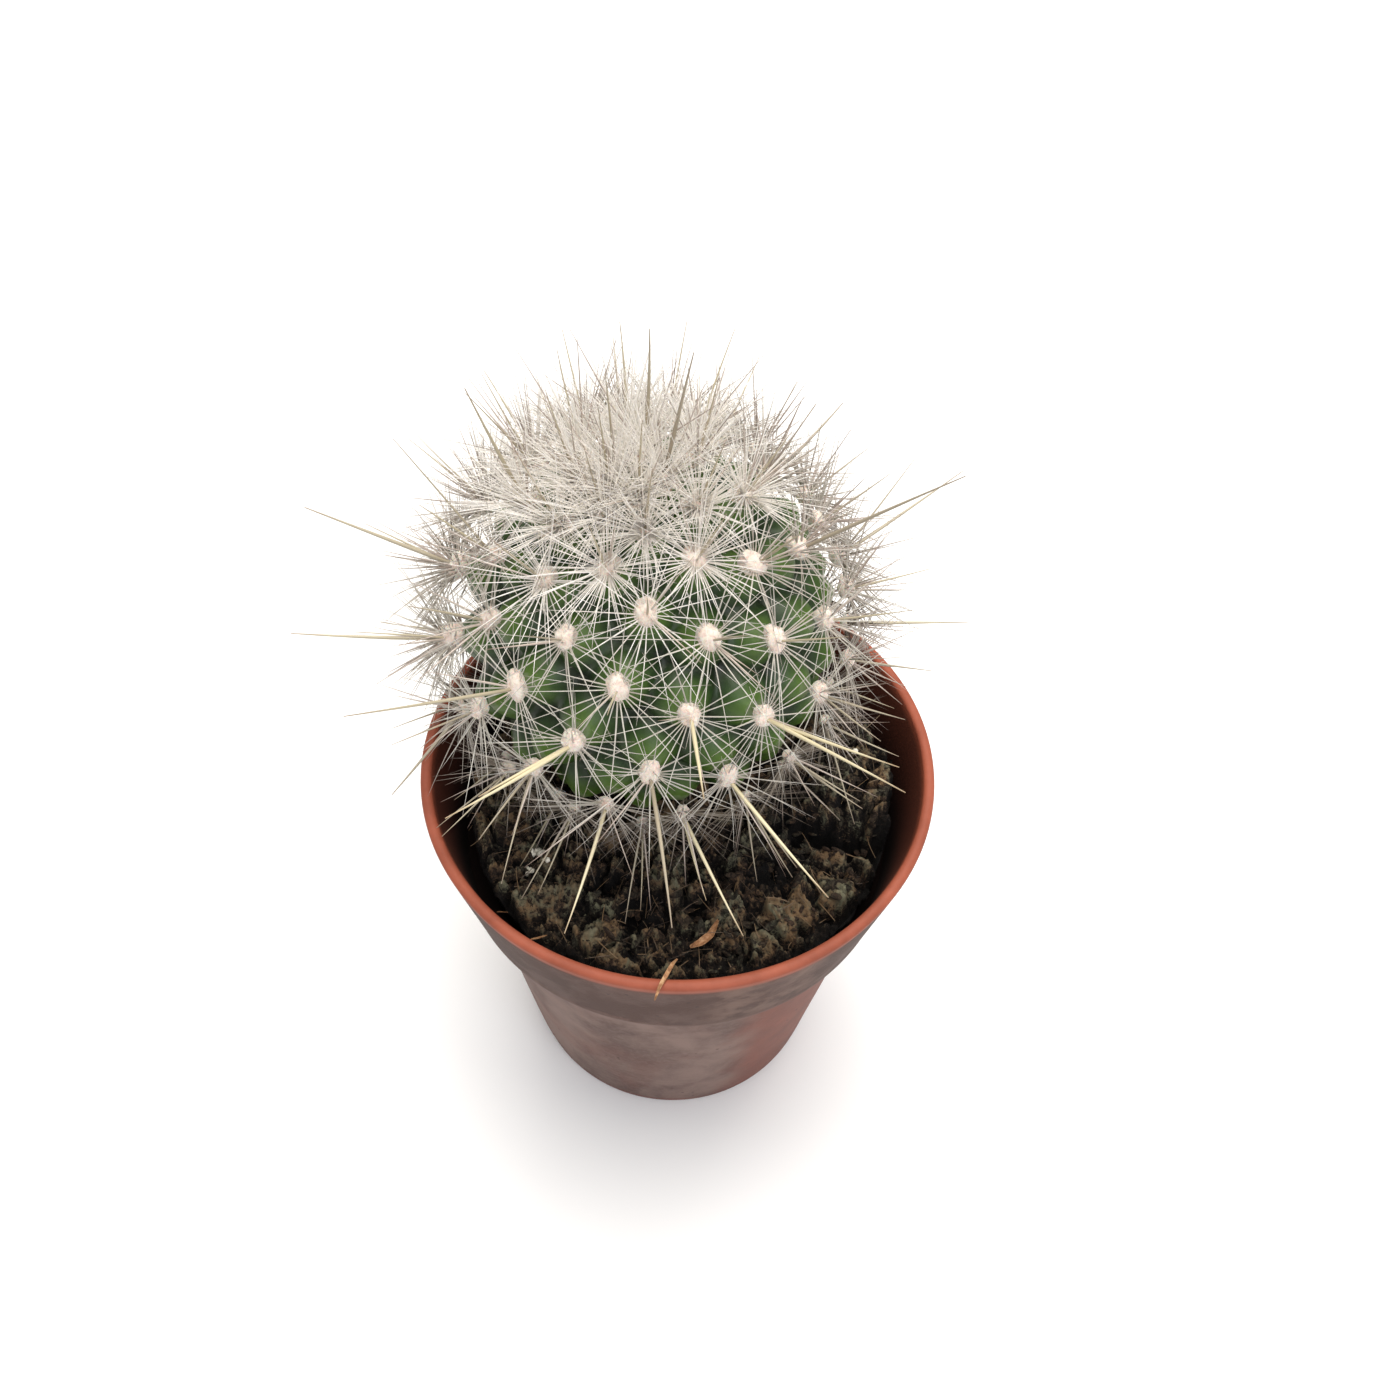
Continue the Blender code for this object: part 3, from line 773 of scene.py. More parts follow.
class NeedleGroup(NodeGroup):
    """Grows a tapered, bent needle on every point."""

    def __init__(self) -> None:
        """Builds the tree: unit needle, instances, bend, map, material."""
        super().__init__(
            "needle_growth",
            {
                "Sides": ("NodeSocketInt", 4),
                "Rings": ("NodeSocketInt", 5),
                "Tip Share": ("NodeSocketFloat", 0.12),
                "Taper Start": ("NodeSocketFloat", 0.25),
                "Smooth": ("NodeSocketBool", True),
                "Material": ("NodeSocketMaterial", None),
            },
        )
        line = self.add(
            "GeometryNodeCurvePrimitiveLine", values={"Start": (0, 0, 0), "End": (0, 0, 1)}
        ).outputs["Curve"]
        rings = self.add(
            "GeometryNodeResampleCurve", links={"Curve": line, "Count": self.given["Rings"]}
        ).outputs["Curve"]
        factor = self.add("GeometryNodeSplineParameter").outputs["Factor"]
        marked = self.add(
            "GeometryNodeStoreNamedAttribute",
            {"data_type": "FLOAT", "domain": "POINT"},
            {"Name": "along"},
            {"Geometry": rings, "Value": factor},
        ).outputs["Geometry"]
        taper = self.add(
            "ShaderNodeMapRange",
            {"interpolation_type": "LINEAR"},
            {"From Max": 1.0, "To Min": 1.0},
            {"Value": factor, "From Min": self.given["Taper Start"], "To Max": self.given["Tip Share"]},
        ).outputs["Result"]
        circle = self.add(
            "GeometryNodeCurvePrimitiveCircle", values={"Radius": 1.0}, links={"Resolution": self.given["Sides"]}
        ).outputs["Curve"]
        ring = self.add(
            "GeometryNodeStoreNamedAttribute",
            {"data_type": "FLOAT", "domain": "POINT"},
            {"Name": "around"},
            {"Geometry": circle, "Value": factor},
        ).outputs["Geometry"]
        needle = self.add(
            "GeometryNodeCurveToMesh",
            values={"Fill Caps": True},
            links={"Curve": marked, "Profile Curve": ring, "Scale": taper},
        ).outputs["Mesh"]
        planted = self.add(
            "GeometryNodeInstanceOnPoints",
            links={
                "Points": self.given["Geometry"],
                "Instance": needle,
                "Rotation": named(self, "turn", "QUATERNION"),
                "Scale": named(self, "size", "FLOAT_VECTOR"),
            },
        ).outputs["Instances"]
        real = self.add("GeometryNodeRealizeInstances", links={"Geometry": planted}).outputs["Geometry"]
        along = named(self, "along", "FLOAT")
        square = self.add("ShaderNodeMath", {"operation": "POWER"}, {1: 2.0}, {0: along}).outputs[0]
        offset = self.add(
            "ShaderNodeVectorMath",
            {"operation": "SCALE"},
            links={0: named(self, "bow", "FLOAT_VECTOR"), "Scale": square},
        ).outputs["Vector"]
        bent = self.add(
            "GeometryNodeSetPosition", links={"Geometry": real, "Offset": offset}
        ).outputs["Geometry"]
        band = self.add(
            "ShaderNodeMath",
            {"operation": "MULTIPLY_ADD"},
            {1: 0.03},
            {0: named(self, "around", "FLOAT"), 2: named(self, "tone", "FLOAT")},
        ).outputs[0]
        pair = self.add("ShaderNodeCombineXYZ", links={"X": along, "Y": band}).outputs["Vector"]
        mapped = self.add(
            "GeometryNodeStoreNamedAttribute",
            {"data_type": "FLOAT2", "domain": "CORNER"},
            {"Name": SPINE_MAP},
            {"Geometry": bent, "Value": pair},
        ).outputs["Geometry"]
        self.close(mapped)

    def plant(
        self,
        name: str,
        needles: list[Needle],
        finish: Finish,
        sides: int = 4,
        rings: int = 5,
        tip_share: float = 0.12,
        taper_start: float = 0.25,
    ) -> bpy.types.Object:
        """Grows a list of needles into one mesh.

        Args:
            name: name of the piece.
            needles: the needles.
            finish: their finish.
            sides: sides of each needle.
            rings: rings of points along each needle.
            tip_share: tip radius as a share of the root's.
            taper_start: share of the length that keeps its full width.

        Returns:
            The new object.
        """
        mesh = bpy.data.meshes.new(name + "_points")
        mesh.from_pydata([tuple(needle.root) for needle in needles], [], [])
        columns = {
            "turn": ("QUATERNION", [UP.rotation_difference(needle.direction) for needle in needles]),
            "size": ("FLOAT_VECTOR", [(n.radius, n.radius, n.length) for n in needles]),
            "bow": ("FLOAT_VECTOR", [tuple(needle.bow) for needle in needles]),
            "tone": ("FLOAT", [(needle.tone * 0.94 + 0.02,) for needle in needles]),
        }
        for label, (kind, rows) in columns.items():
            attribute = mesh.attributes.new(label, kind, "POINT")
            key = "vector" if kind == "FLOAT_VECTOR" else "value"
            attribute.data.foreach_set(key, np.array([tuple(row) for row in rows], np.float32).ravel())
        sizes = {
            "Sides": sides,
            "Rings": rings,
            "Tip Share": tip_share,
            "Taper Start": taper_start,
            "Material": finish.material(),
        }
        return self.grow(new_mesh_object(name + "_points", mesh), name, sizes)


class CrumbGroup(NodeGroup):
    """Scatters knobbly crumbs on points, each pushed out of round by noise."""

    def __init__(self) -> None:
        """Builds the tree: ball, instances, noise, material."""
        super().__init__(
            "crumb_scatter",
            {
                "Ball Detail": ("NodeSocketInt", 2),
                "Lump Size": ("NodeSocketFloat", 0.5 * MM),
                "Lump Height": ("NodeSocketFloat", 0.2 * MM),
                "Seed": ("NodeSocketFloat", 3.0),
                "Smooth": ("NodeSocketBool", True),
                "Material": ("NodeSocketMaterial", None),
            },
        )
        ball = self.add(
            "GeometryNodeMeshIcoSphere", values={"Radius": 1.0}, links={"Subdivisions": self.given["Ball Detail"]}
        ).outputs["Mesh"]
        planted = self.add(
            "GeometryNodeInstanceOnPoints",
            links={
                "Points": self.given["Geometry"],
                "Instance": ball,
                "Rotation": named(self, "turn", "QUATERNION"),
                "Scale": named(self, "size", "FLOAT_VECTOR"),
            },
        ).outputs["Instances"]
        real = self.add("GeometryNodeRealizeInstances", links={"Geometry": planted}).outputs["Geometry"]
        place = self.add("GeometryNodeInputPosition").outputs["Position"]
        inverse = self.add(
            "ShaderNodeMath", {"operation": "DIVIDE"}, {0: 1.0}, {1: self.given["Lump Size"]}
        ).outputs[0]
        field_noise = self.add(
            "ShaderNodeTexNoise",
            {"noise_dimensions": "4D"},
            {"Detail": 2.0},
            {"Vector": place, "Scale": inverse, "W": self.given["Seed"]},
        ).outputs["Fac"]
        push = self.add("ShaderNodeMath", {"operation": "SUBTRACT"}, {1: 0.5}, {0: field_noise}).outputs[0]
        reach = self.add(
            "ShaderNodeMath", {"operation": "MULTIPLY"}, links={0: push, 1: self.given["Lump Height"]}
        ).outputs[0]
        normal = self.add("GeometryNodeInputNormal").outputs["Normal"]
        offset = self.add(
            "ShaderNodeVectorMath", {"operation": "SCALE"}, links={0: normal, "Scale": reach}
        ).outputs["Vector"]
        lumpy = self.add(
            "GeometryNodeSetPosition", links={"Geometry": real, "Offset": offset}
        ).outputs["Geometry"]
        self.close(lumpy)

    def scatter(
        self,
        name: str,
        crumbs: list[tuple[Vector, Quaternion, tuple[float, float, float]]],
        finish: Finish,
        lump_size: float,
        lump_height: float,
        detail: int = 2,
        smooth: bool = True,
    ) -> bpy.types.Object:
        """Grows a list of crumbs into one mesh.

        Args:
            name: name of the piece.
            crumbs: place, turn and half-sizes of each crumb.
            finish: their finish.
            lump_size: size of the lumps on a crumb.
            lump_height: height of the lumps.
            detail: subdivisions of each ball.
            smooth: False for crumbs with broken facets.

        Returns:
            The new object.
        """
        mesh = bpy.data.meshes.new(name + "_points")
        mesh.from_pydata([tuple(crumb[0]) for crumb in crumbs], [], [])
        turn = mesh.attributes.new("turn", "QUATERNION", "POINT")
        turn.data.foreach_set("value", np.array([tuple(crumb[1]) for crumb in crumbs], np.float32).ravel())
        size = mesh.attributes.new("size", "FLOAT_VECTOR", "POINT")
        size.data.foreach_set("vector", np.array([crumb[2] for crumb in crumbs], np.float32).ravel())
        sizes = {
            "Ball Detail": detail,
            "Lump Size": lump_size,
            "Lump Height": lump_height,
            "Smooth": smooth,
            "Material": finish.material(),
        }
        return self.grow(new_mesh_object(name + "_points", mesh), name, sizes)


def random_turn(rng: random.Random) -> Quaternion:
    """A random rotation."""
    axis = Vector((rng.gauss(0, 1), rng.gauss(0, 1), rng.gauss(0, 1))).normalized()
    return Quaternion(axis, rng.uniform(0, math.tau))


# ---------------------------------------------------------------- pot


@dataclass
class MouldedPot:
    """The moulded nursery pot: lip, collar, step, tapered wall and drained floor."""

    height: float = 51.4 * MM
    rim_radius: float = 27.5 * MM
    lip_width: float = 1.2 * MM
    collar_depth: float = 13.5 * MM
    collar_foot_radius: float = 25.1 * MM
    body_top_radius: float = 23.4 * MM
    base_radius: float = 19.0 * MM
    wall: float = 1.1 * MM
    floor: float = 1.5 * MM
    step: float = 1.4 * MM
    edge: float = 0.5 * MM
    foot_round: float = 1.3 * MM
    drain_holes: int = 4
    drain_radius: float = 2.4 * MM
    drain_circle: float = 11.0 * MM
    turns: int = 192
    wall_rows: int = 14

    @property
    def collar_foot(self) -> float:
        """Height of the collar's lower edge."""
        return self.height - self.collar_depth

    def inner_radius(self, height: float) -> float:
        """Radius of the inside wall at a height."""
        if height >= self.collar_foot:
            share = (height - self.collar_foot) / self.collar_depth
            return mix(self.collar_foot_radius, self.rim_radius, share) - self.lip_width
        share = height / (self.collar_foot - self.step)
        return mix(self.base_radius, self.body_top_radius, min(share, 1.0)) - self.wall

    def middle(self, height: float) -> float:
        """Radius of the middle of the wall at a height."""
        return self.inner_radius(height) + self.wall / 2

    def profile(self) -> list[tuple[float, float]]:
        """Section from the centre of the underside, up the outside, over the lip, down to the floor's centre."""
        arc = 8
        foot = []
        for k in range(arc + 1):
            turn = math.pi / 2 * k / arc
            radius = self.base_radius - self.foot_round * (1 - math.sin(turn))
            foot.append((radius, self.foot_round * 0.6 * (1 - math.cos(turn))))
        rows = []
        step_height = self.collar_foot - self.step
        for k in range(1, self.wall_rows):
            share = k / self.wall_rows
            height = mix(foot[-1][1], step_height, share)
            rows.append((mix(self.base_radius, self.body_top_radius, height / step_height), height))
        cove = []
        reach = self.collar_foot_radius - self.body_top_radius
        for k in range(arc + 1):
            turn = math.pi / 2 * k / arc
            cove.append(
                (
                    self.body_top_radius + reach * (1 - math.cos(turn)) * 0.9,
                    step_height + self.step * math.sin(turn) * 0.75,
                )
            )
        collar = [(self.collar_foot_radius - 0.03 * MM, self.collar_foot - 0.12 * MM)]
        for k in range(self.wall_rows // 2):
            share = k / (self.wall_rows // 2)
            collar.append(
                (
                    mix(self.collar_foot_radius, self.rim_radius, share),
                    mix(self.collar_foot + 0.15 * MM, self.height - self.edge, share),
                )
            )
        lip = []
        middle = self.rim_radius - self.lip_width / 2
        for k in range(2 * arc + 1):
            turn = math.pi * k / (2 * arc)
            lip.append(
                (
                    middle + math.cos(turn) * self.lip_width / 2,
                    self.height - self.edge * (1 - math.sin(turn)),
                )
            )
        inside = []
        for k in range(1, self.wall_rows + 1):
            height = mix(self.height - self.edge, self.collar_foot, k / self.wall_rows)
            inside.append((self.inner_radius(height), height))
        for k in range(self.wall_rows + 1):
            height = mix(step_height, self.floor + self.edge, k / self.wall_rows)
            inside.append((self.inner_radius(height), height))
        inside.append((self.inner_radius(self.floor) - self.edge, self.floor))
        return [(0.0, 0.0), *foot, *rows, *cove, *collar, *lip, *inside, (0.0, self.floor)]

    def build(self) -> bpy.types.Object:
        """Turns the profile, lets the moulding wander slightly and drills the drain holes."""
        profile = self.profile()
        verts: list[tuple[float, float, float]] = [(0.0, 0.0, 0.0)]
        ring_rows = profile[1:-1]
        for radius, height in ring_rows:
            for k in range(self.turns):
                turn = math.tau * k / self.turns
                verts.append((radius * math.cos(turn), radius * math.sin(turn), height))
        verts.append((0.0, 0.0, profile[-1][1]))
        last = len(verts) - 1
        faces: list[tuple[int, ...]] = []
        for k in range(self.turns):
            after = (k + 1) % self.turns
            faces.append((0, 1 + after, 1 + k))
            top = 1 + (len(ring_rows) - 1) * self.turns
            faces.append((last, top + k, top + after))
            for row in range(len(ring_rows) - 1):
                low, high = 1 + row * self.turns, 1 + (row + 1) * self.turns
                faces.append((low + k, low + after, high + after, high + k))
        mesh = bpy.data.meshes.new("pot_shell")
        mesh.from_pydata(verts, [], faces)
        for vert in mesh.vertices:
            radius = math.hypot(vert.co.x, vert.co.y)
            if vert.co.z > self.floor * 2 and radius > 0:
                wander = noise.noise(vert.co / (14 * MM)) * 0.08 * MM
                vert.co.x *= 1 + wander / radius
                vert.co.y *= 1 + wander / radius
        inner = mesh.attributes.new("inner", "FLOAT", "POINT")
        for vert, mark in zip(mesh.vertices, inner.data):
            radius = math.hypot(vert.co.x, vert.co.y)
            under_lip = vert.co.z < self.height - self.edge * 1.02
            mark.value = float(under_lip and vert.co.z > self.floor * 0.9 and radius < self.middle(vert.co.z))
        shell = new_mesh_object("pot_shell", mesh)
        cutters = []
        for k in range(self.drain_holes):
            turn = math.tau * (k + 0.5) / self.drain_holes
            bm = bmesh.new()
            place = (self.drain_circle * math.cos(turn), self.drain_circle * math.sin(turn), self.floor / 2)
            bmesh.ops.create_cone(
                bm,
                cap_ends=True,
                segments=40,
                radius1=self.drain_radius,
                radius2=self.drain_radius,
                depth=self.floor * 4,
                matrix=Matrix.Translation(place),
            )
            tool_mesh = bpy.data.meshes.new("drain_tool")
            bm.to_mesh(tool_mesh)
            bm.free()
            tool = new_mesh_object("drain_tool", tool_mesh)
            cut = shell.modifiers.new("Drain", "BOOLEAN")
            cut.operation = "DIFFERENCE"
            cut.solver = "EXACT"
            cut.object = tool
            cutters.append(tool)
        bpy.context.view_layer.update()
        pot = plain_mesh(shell, "moulded_pot")
        for tool in cutters:
            bpy.data.objects.remove(tool, do_unlink=True)
        pot.data.shade_smooth()
        pot.data.set_sharp_from_angle(angle=math.radians(50))
        pot.data.materials.clear()
        pot.data.materials.append(POT_PLASTIC.material())
        return finish_piece(pot, Slot.POT, ["pot"])


# ---------------------------------------------------------------- the plant's own geometry


@dataclass
class Areole:
    """One areole's number, place and directions."""

    number: int
    place: Vector
    outward: Vector
    away: Vector
    side: Vector


@dataclass
class GlobePlan:
    """Where the plant's areoles sit: a leaning, slightly flattened globe with a golden-angle spiral."""

    centre: Vector = field(default_factory=lambda: Vector((-3.7, 7.0, 64.2)) * MM)
    lean: Vector = field(default_factory=lambda: Vector((-0.116, -0.092, 1.0)).normalized())
    radius: float = 20.7 * MM
    flattening: float = 0.93
    spread: float = 0.05
    spread_power: float = 0.8324
    divergence: float = math.radians(137.43)
    first_bearing: float = 0.94
    crown_count: int = 21
    single_count: int = 69
    count: int = 95
    central_short: float = 8.0 * MM
    central_range: float = 2.5 * MM
    central_tilt: float = math.radians(8)
    long_centrals: dict[int, tuple[float, float, float]] = field(
        default_factory=lambda: {
            5: (14.5, 6, -30),
            8: (12, 6, -75),
            14: (13, 12, -150),
            31: (18, 4, -45),
            35: (15, 2, -140),
            38: (18, 10, -125),
            41: (14, 7, -95),
            46: (17, 16, -135),
            49: (18, 8, 125),
            54: (17, 7, 90),
            55: (13, 6, -60),
            56: (15, 4, -130),
            60: (16, 14, 125),
            62: (15.5, 10, 105),
            64: (11, 25, 55),
            67: (13, 3, -115),
            73: (13.6, 2, 135),
        }
    )
    golden_share: float = 0.618034

    def __post_init__(self) -> None:
        """Works out the lean and every areole."""
        self.turn = UP.rotation_difference(self.lean).to_matrix()
        self.areoles = [self.areole(n) for n in range(1, self.count + 1)]

    def surface(self, angle: float, bearing: float, radius: float) -> Vector:
        """Point at an angle from the tip and a bearing round the axis."""
        ring = radius * math.sin(angle)
        local = Vector(
            (ring * math.cos(bearing), ring * math.sin(bearing), radius * self.flattening * math.cos(angle))
        )
        return self.centre + self.turn @ local

    def areole(self, number: int) -> Areole:
        """Works out one areole."""
        angle = self.spread * number**self.spread_power
        bearing = self.first_bearing + number * self.divergence
        place = self.surface(angle, bearing, self.radius)
        local = Vector(
            (
                math.sin(angle) * math.cos(bearing),
                math.sin(angle) * math.sin(bearing),
                math.cos(angle) / self.flattening,
            )
        )
        outward = (self.turn @ local).normalized()
        away = (self.surface(angle + 0.01, bearing, self.radius) - place).normalized()
        return Areole(number, place, outward, away, outward.cross(away))

    def central_tip(self, areole: Areole) -> Vector:
        """Tip of an areole's main central spine."""
        share = (areole.number * self.golden_share) % 1.0
        turn = math.tau * share
        lean = self.central_tilt * (0.4 + 0.6 * ((areole.number * self.golden_share * 3) % 1.0))
        length = self.central_short + self.central_range * share
        if areole.number in self.long_centrals:
            length_mm, tilt, bearing = self.long_centrals[areole.number]
            length, lean, turn = length_mm * MM, math.radians(tilt), math.radians(bearing)
        sideways = areole.away * math.cos(turn) + areole.side * math.sin(turn)
        return areole.place + (areole.outward * math.cos(lean) + sideways * math.sin(lean)) * length


# ---------------------------------------------------------------- soil


@dataclass
class RootBall:
    """The shrunken peat plug: cracked and broken top, a raised block behind the crack, crumbs and fibres."""

    pot: MouldedPot
    plan: GlobePlan
    top: float = 44.2 * MM
    top_radius: float = 23.5 * MM
    waist_radius: float = 21.3 * MM
    waist: float = 37.2 * MM
    foot_radius: float = 17.3 * MM
    shift: Vector = field(default_factory=lambda: Vector((0.3, -0.3, 0)) * MM)
    lump: float = 1.0 * MM
    lump_size: float = 4.5 * MM
    mound: float = 1.1 * MM
    block: float = 3.6 * MM
    crack: float = 1.8 * MM
    crack_start: Vector = field(default_factory=lambda: Vector((8.0, -2.5, 0)) * MM)
    crack_end: Vector = field(default_factory=lambda: Vector((24.0, -7.5, 0)) * MM)
    crack_width: float = 2.2 * MM
    gap: float = 0.35 * MM
    neck_radius: float = 7.5 * MM
    neck_foot: float = 42.4 * MM
    segments: int = 740
    rings: int = 104
    crumb_count: int = 2100
    fibre_count: int = 420
    seed: int = 11
    # hollows on the open soil: x, y, radius and depth in mm
    hollows: tuple[tuple[float, float, float, float], ...] = (
        (-3.0, -15.6, 3.4, 2.6),
        (3.0, -14.4, 2.2, 1.4),
        (-7.0, -12.4, 2.4, 1.6),
        (9.5, -9.5, 3.0, 1.8),
        (11.5, -3.6, 2.2, 2.4),
        (14.4, -4.6, 2.3, 2.8),
        (17.0, -5.6, 2.2, 2.6),
        (19.6, -6.3, 2.0, 2.4),
        (22.0, -7.0, 2.0, 2.2),
    )

    def height(self, x: float, y: float) -> float:
        """Smooth top of the soil, as the frame has it."""
        away = math.hypot(x - self.plan.centre.x, y - self.plan.centre.y)
        mound = self.mound * (1 - smooth_step(0, self.top_radius, away))
        spot = Vector((x, y, 0)) / self.lump_size
        lumps = noise.noise(spot) + 0.5 * noise.noise(spot * 2.3 + Vector((7, 3, 1)))
        along = (self.crack_end - self.crack_start).normalized()
        start = Vector((x, y, 0)) - self.crack_start
        behind = along.cross(start).z
        reach = smooth_step(0, 4 * self.crack_width, start.dot(along))
        block = self.block * smooth_step(0, 1.5 * self.crack_width, behind) * reach
        crack = self.crack * (1 - smooth_step(0, self.crack_width, abs(behind))) * reach
        return self.top + mound + block - crack + self.lump * lumps

    def broken(self, x: float, y: float) -> tuple[float, float]:
        """Height of the broken top, and how proud of its hollows a place stands, from 0 to 1."""
        spot = Vector((x, y, 0)) / MM
        warp = noise.noise_vector(spot / 2.6) * 1.5 + noise.noise_vector(spot / 0.9) * 0.45
        place = (spot + warp) / 4.6
        gaps, seats = noise.voronoi(place)
        clod = smooth_step(0.0, 0.26, gaps[1] - gaps[0])
        rank = noise.noise(seats[0] * 5.3)
        tilt = noise.noise_vector(seats[0] * 3.1)
        slope = tilt.dot(place - seats[0])
        small, small_seats = noise.voronoi((spot + warp * 1.3) / 1.3)
        chip = smooth_step(0.0, 0.4, small[1] - small[0])
        small_rank = noise.noise(small_seats[0] * 7.7)
        grain = Vector((spot.x + 1.7 * rank, spot.y - 1.3 * rank, 4 * rank)) + warp * 0.6
        flake = 1 - 2 * abs(noise.noise(grain / 1.1)) - 1.2 * abs(noise.noise(grain / 0.48))
        fine = noise.fractal(spot / 0.55, 0.6, 2.1, 3)
        relief = clod * (2.0 + 2.0 * rank + 3.4 * slope) + chip * (0.35 + 0.45 * small_rank)
        relief += 0.75 * flake + 0.42 * fine - 1.6
        pit = sum(
            depth * (1 - smooth_step(0.25 * size, size, math.hypot(spot.x - px, spot.y - py)))
            for px, py, size, depth in self.hollows
        )
        # How proud a place stands sets the peat's painted shade; the hollows get less and so go darker.
        proud = 0.1 + 0.45 * clod * (1 + 0.9 * rank + slope) + 0.15 * chip + 0.35 * flake + 0.3 * fine
        proud -= 0.35 * pit
        return self.height(x, y) + (relief - pit) * MM, min(max(proud, 0.0), 1.0)

    def broken_height(self, x: float, y: float) -> float:
        """Height of the broken top."""
        return self.broken(x, y)[0]

    def top_mesh(self) -> bpy.types.Object:
        """The plug itself, closed, with its broken top."""
        neck = Vector((self.plan.centre.x, self.plan.centre.y, 0))
        socket = self.neck_radius + self.gap
        verts: list[tuple[float, float, float]] = []
        lifts: list[float] = []
        rows = 0
        wall_rows = (
            (self.foot_radius, 1.85, 0.0),
            (mix(self.foot_radius, self.waist_radius, 0.5), 19.5, 0.5),
            (self.waist_radius, 37.2, 0.9),
            (self.top_radius - 0.9 * MM, 40.6, 1.0),
            (self.top_radius - 0.5 * MM, 41.8, 1.0),
            (self.top_radius - 0.3 * MM, 42.6, 1.0),
        )
        for radius, height, share in wall_rows:
            for k in range(self.segments):
                turn = math.tau * k / self.segments
                way = Vector((math.cos(turn), math.sin(turn), 0))
                rough = abs(noise.noise(way * 9 + UP * height / 1.5)) * 0.5 * MM
                verts.append(tuple(self.shift * share + way * (radius - rough) + UP * height * MM))
                # The plug's sides get almost no lift: painted shade down the pot wall.
                lifts.append(0.05)
            rows += 1
        for ring in range(self.rings + 1):
            share = ring / self.rings
            centre = self.shift.lerp(neck, share)
            radius = mix(self.top_radius, socket, share)
            shoulder = smooth_step(0.0, 0.05, share)
            for k in range(self.segments):
                turn = math.tau * k / self.segments
                way = Vector((math.cos(turn), math.sin(turn), 0))
                ragged = abs(noise.noise(way * 5 + UP * 5)) * 0.8 + abs(noise.noise(way * 17)) * 0.5
                place = centre + way * (radius - ragged * MM * (1 - share))
                height, proud = self.broken(place.x, place.y)
                verts.append((place.x, place.y, height - (1 - shoulder) * 1.3 * MM))
                # Painted shade: the lift falls off at the shoulder against the pot wall.
                lifts.append(proud * mix(0.3, 1.0, shoulder))
            rows += 1
        for k in range(self.segments):
            turn = math.tau * k / self.segments
            x, y = neck.x + socket * math.cos(turn), neck.y + socket * math.sin(turn)
            verts.append((x, y, self.neck_foot - self.gap))
            # Painted shade: no lift round the neck, so the peat goes near-black there.
            lifts.append(0.0)
        rows += 1
        faces: list[tuple[int, ...]] = []
        for row in range(rows - 1):
            low, high = row * self.segments, (row + 1) * self.segments
            for k in range(self.segments):
                after = (k + 1) % self.segments
                faces.append((low + k, low + after, high + after, high + k))
        first = list(range(self.segments))
        faces.append(tuple(reversed(first)))
        faces.append(tuple((rows - 1) * self.segments + k for k in first))
        mesh = bpy.data.meshes.new("peat_root_ball")
        mesh.from_pydata(verts, [], faces)
        lift = mesh.attributes.new("lift", "FLOAT", "POINT")
        lift.data.foreach_set("value", np.array(lifts, np.float32))
        mesh.shade_smooth()
        mesh.materials.append(COMPOST.material())
        return new_mesh_object("peat_root_ball", mesh)

    def spot(self, rng: random.Random) -> tuple[float, float]:
        """A random place on the open soil, more often near the front where it shows."""
        while True:
            reach = (self.top_radius - 1.4 * MM) * math.sqrt(rng.random())
            turn = rng.uniform(0, math.tau)
            x = self.shift.x + reach * math.cos(turn)
            y = self.shift.y + reach * math.sin(turn)
            if math.hypot(x - self.plan.centre.x, y - self.plan.centre.y) > self.neck_radius + 1.5 * MM:
                return x, y

    def crumbs(self, group: CrumbGroup) -> bpy.types.Object:
        """Loose crumbs on the top."""
        rng = random.Random(self.seed)
        rows = []
        for _ in range(self.crumb_count):
            x, y = self.spot(rng)
            size = mix(0.12, 0.6, rng.random() ** 3.0) * MM
            shape = (size * rng.uniform(1.0, 2.2), size * rng.uniform(0.6, 1.1), size * rng.uniform(0.25, 0.7))
            place = Vector((x, y, self.broken_height(x, y) + size * 0.2))
            rows.append((place, random_turn(rng), shape))
        return group.scatter("peat_crumbs", rows, LOOSE_PEAT, 0.35 * MM, 0.4 * MM, smooth=False)

    def fibres(self, group: NeedleGroup) -> bpy.types.Object:
        """Fine roots and peat fibres that lie on the soil."""
        rng = random.Random(self.seed + 1)
        rows = []
        for _ in range(self.fibre_count):
            x, y = self.spot(rng)
            turn = rng.uniform(0, math.tau)
            rise = rng.uniform(-0.05, 0.35)
            direction = Vector((math.cos(turn), math.sin(turn), rise)).normalized()
            length = rng.uniform(0.8, 3.4) * MM
            bow = Vector((rng.gauss(0, 1), rng.gauss(0, 1), -rise * 2)) * length * 0.18
            root = Vector((x, y, self.broken_height(x, y) + 0.12 * MM))
            tip = root + direction * length + bow
            if math.hypot(tip.x, tip.y) < self.pot.inner_radius(self.top) - 1.0 * MM:
                rows.append(Needle(root, direction, length, rng.uniform(0.03, 0.07) * MM, bow, rng.random()))
        return group.plant("peat_fibres", rows, FIBRE_HORN, sides=4, rings=6, tip_share=0.5)

    def build(self, needles: NeedleGroup, crumbs: CrumbGroup) -> None:
        """Makes the plug, its crumbs and its fibres."""
        finish_piece(self.top_mesh(), Slot.SOIL, ["soil"])
        finish_piece(self.crumbs(crumbs), Slot.SOIL)
        finish_piece(self.fibres(needles), Slot.HUSK)


# ---------------------------------------------------------------- plant


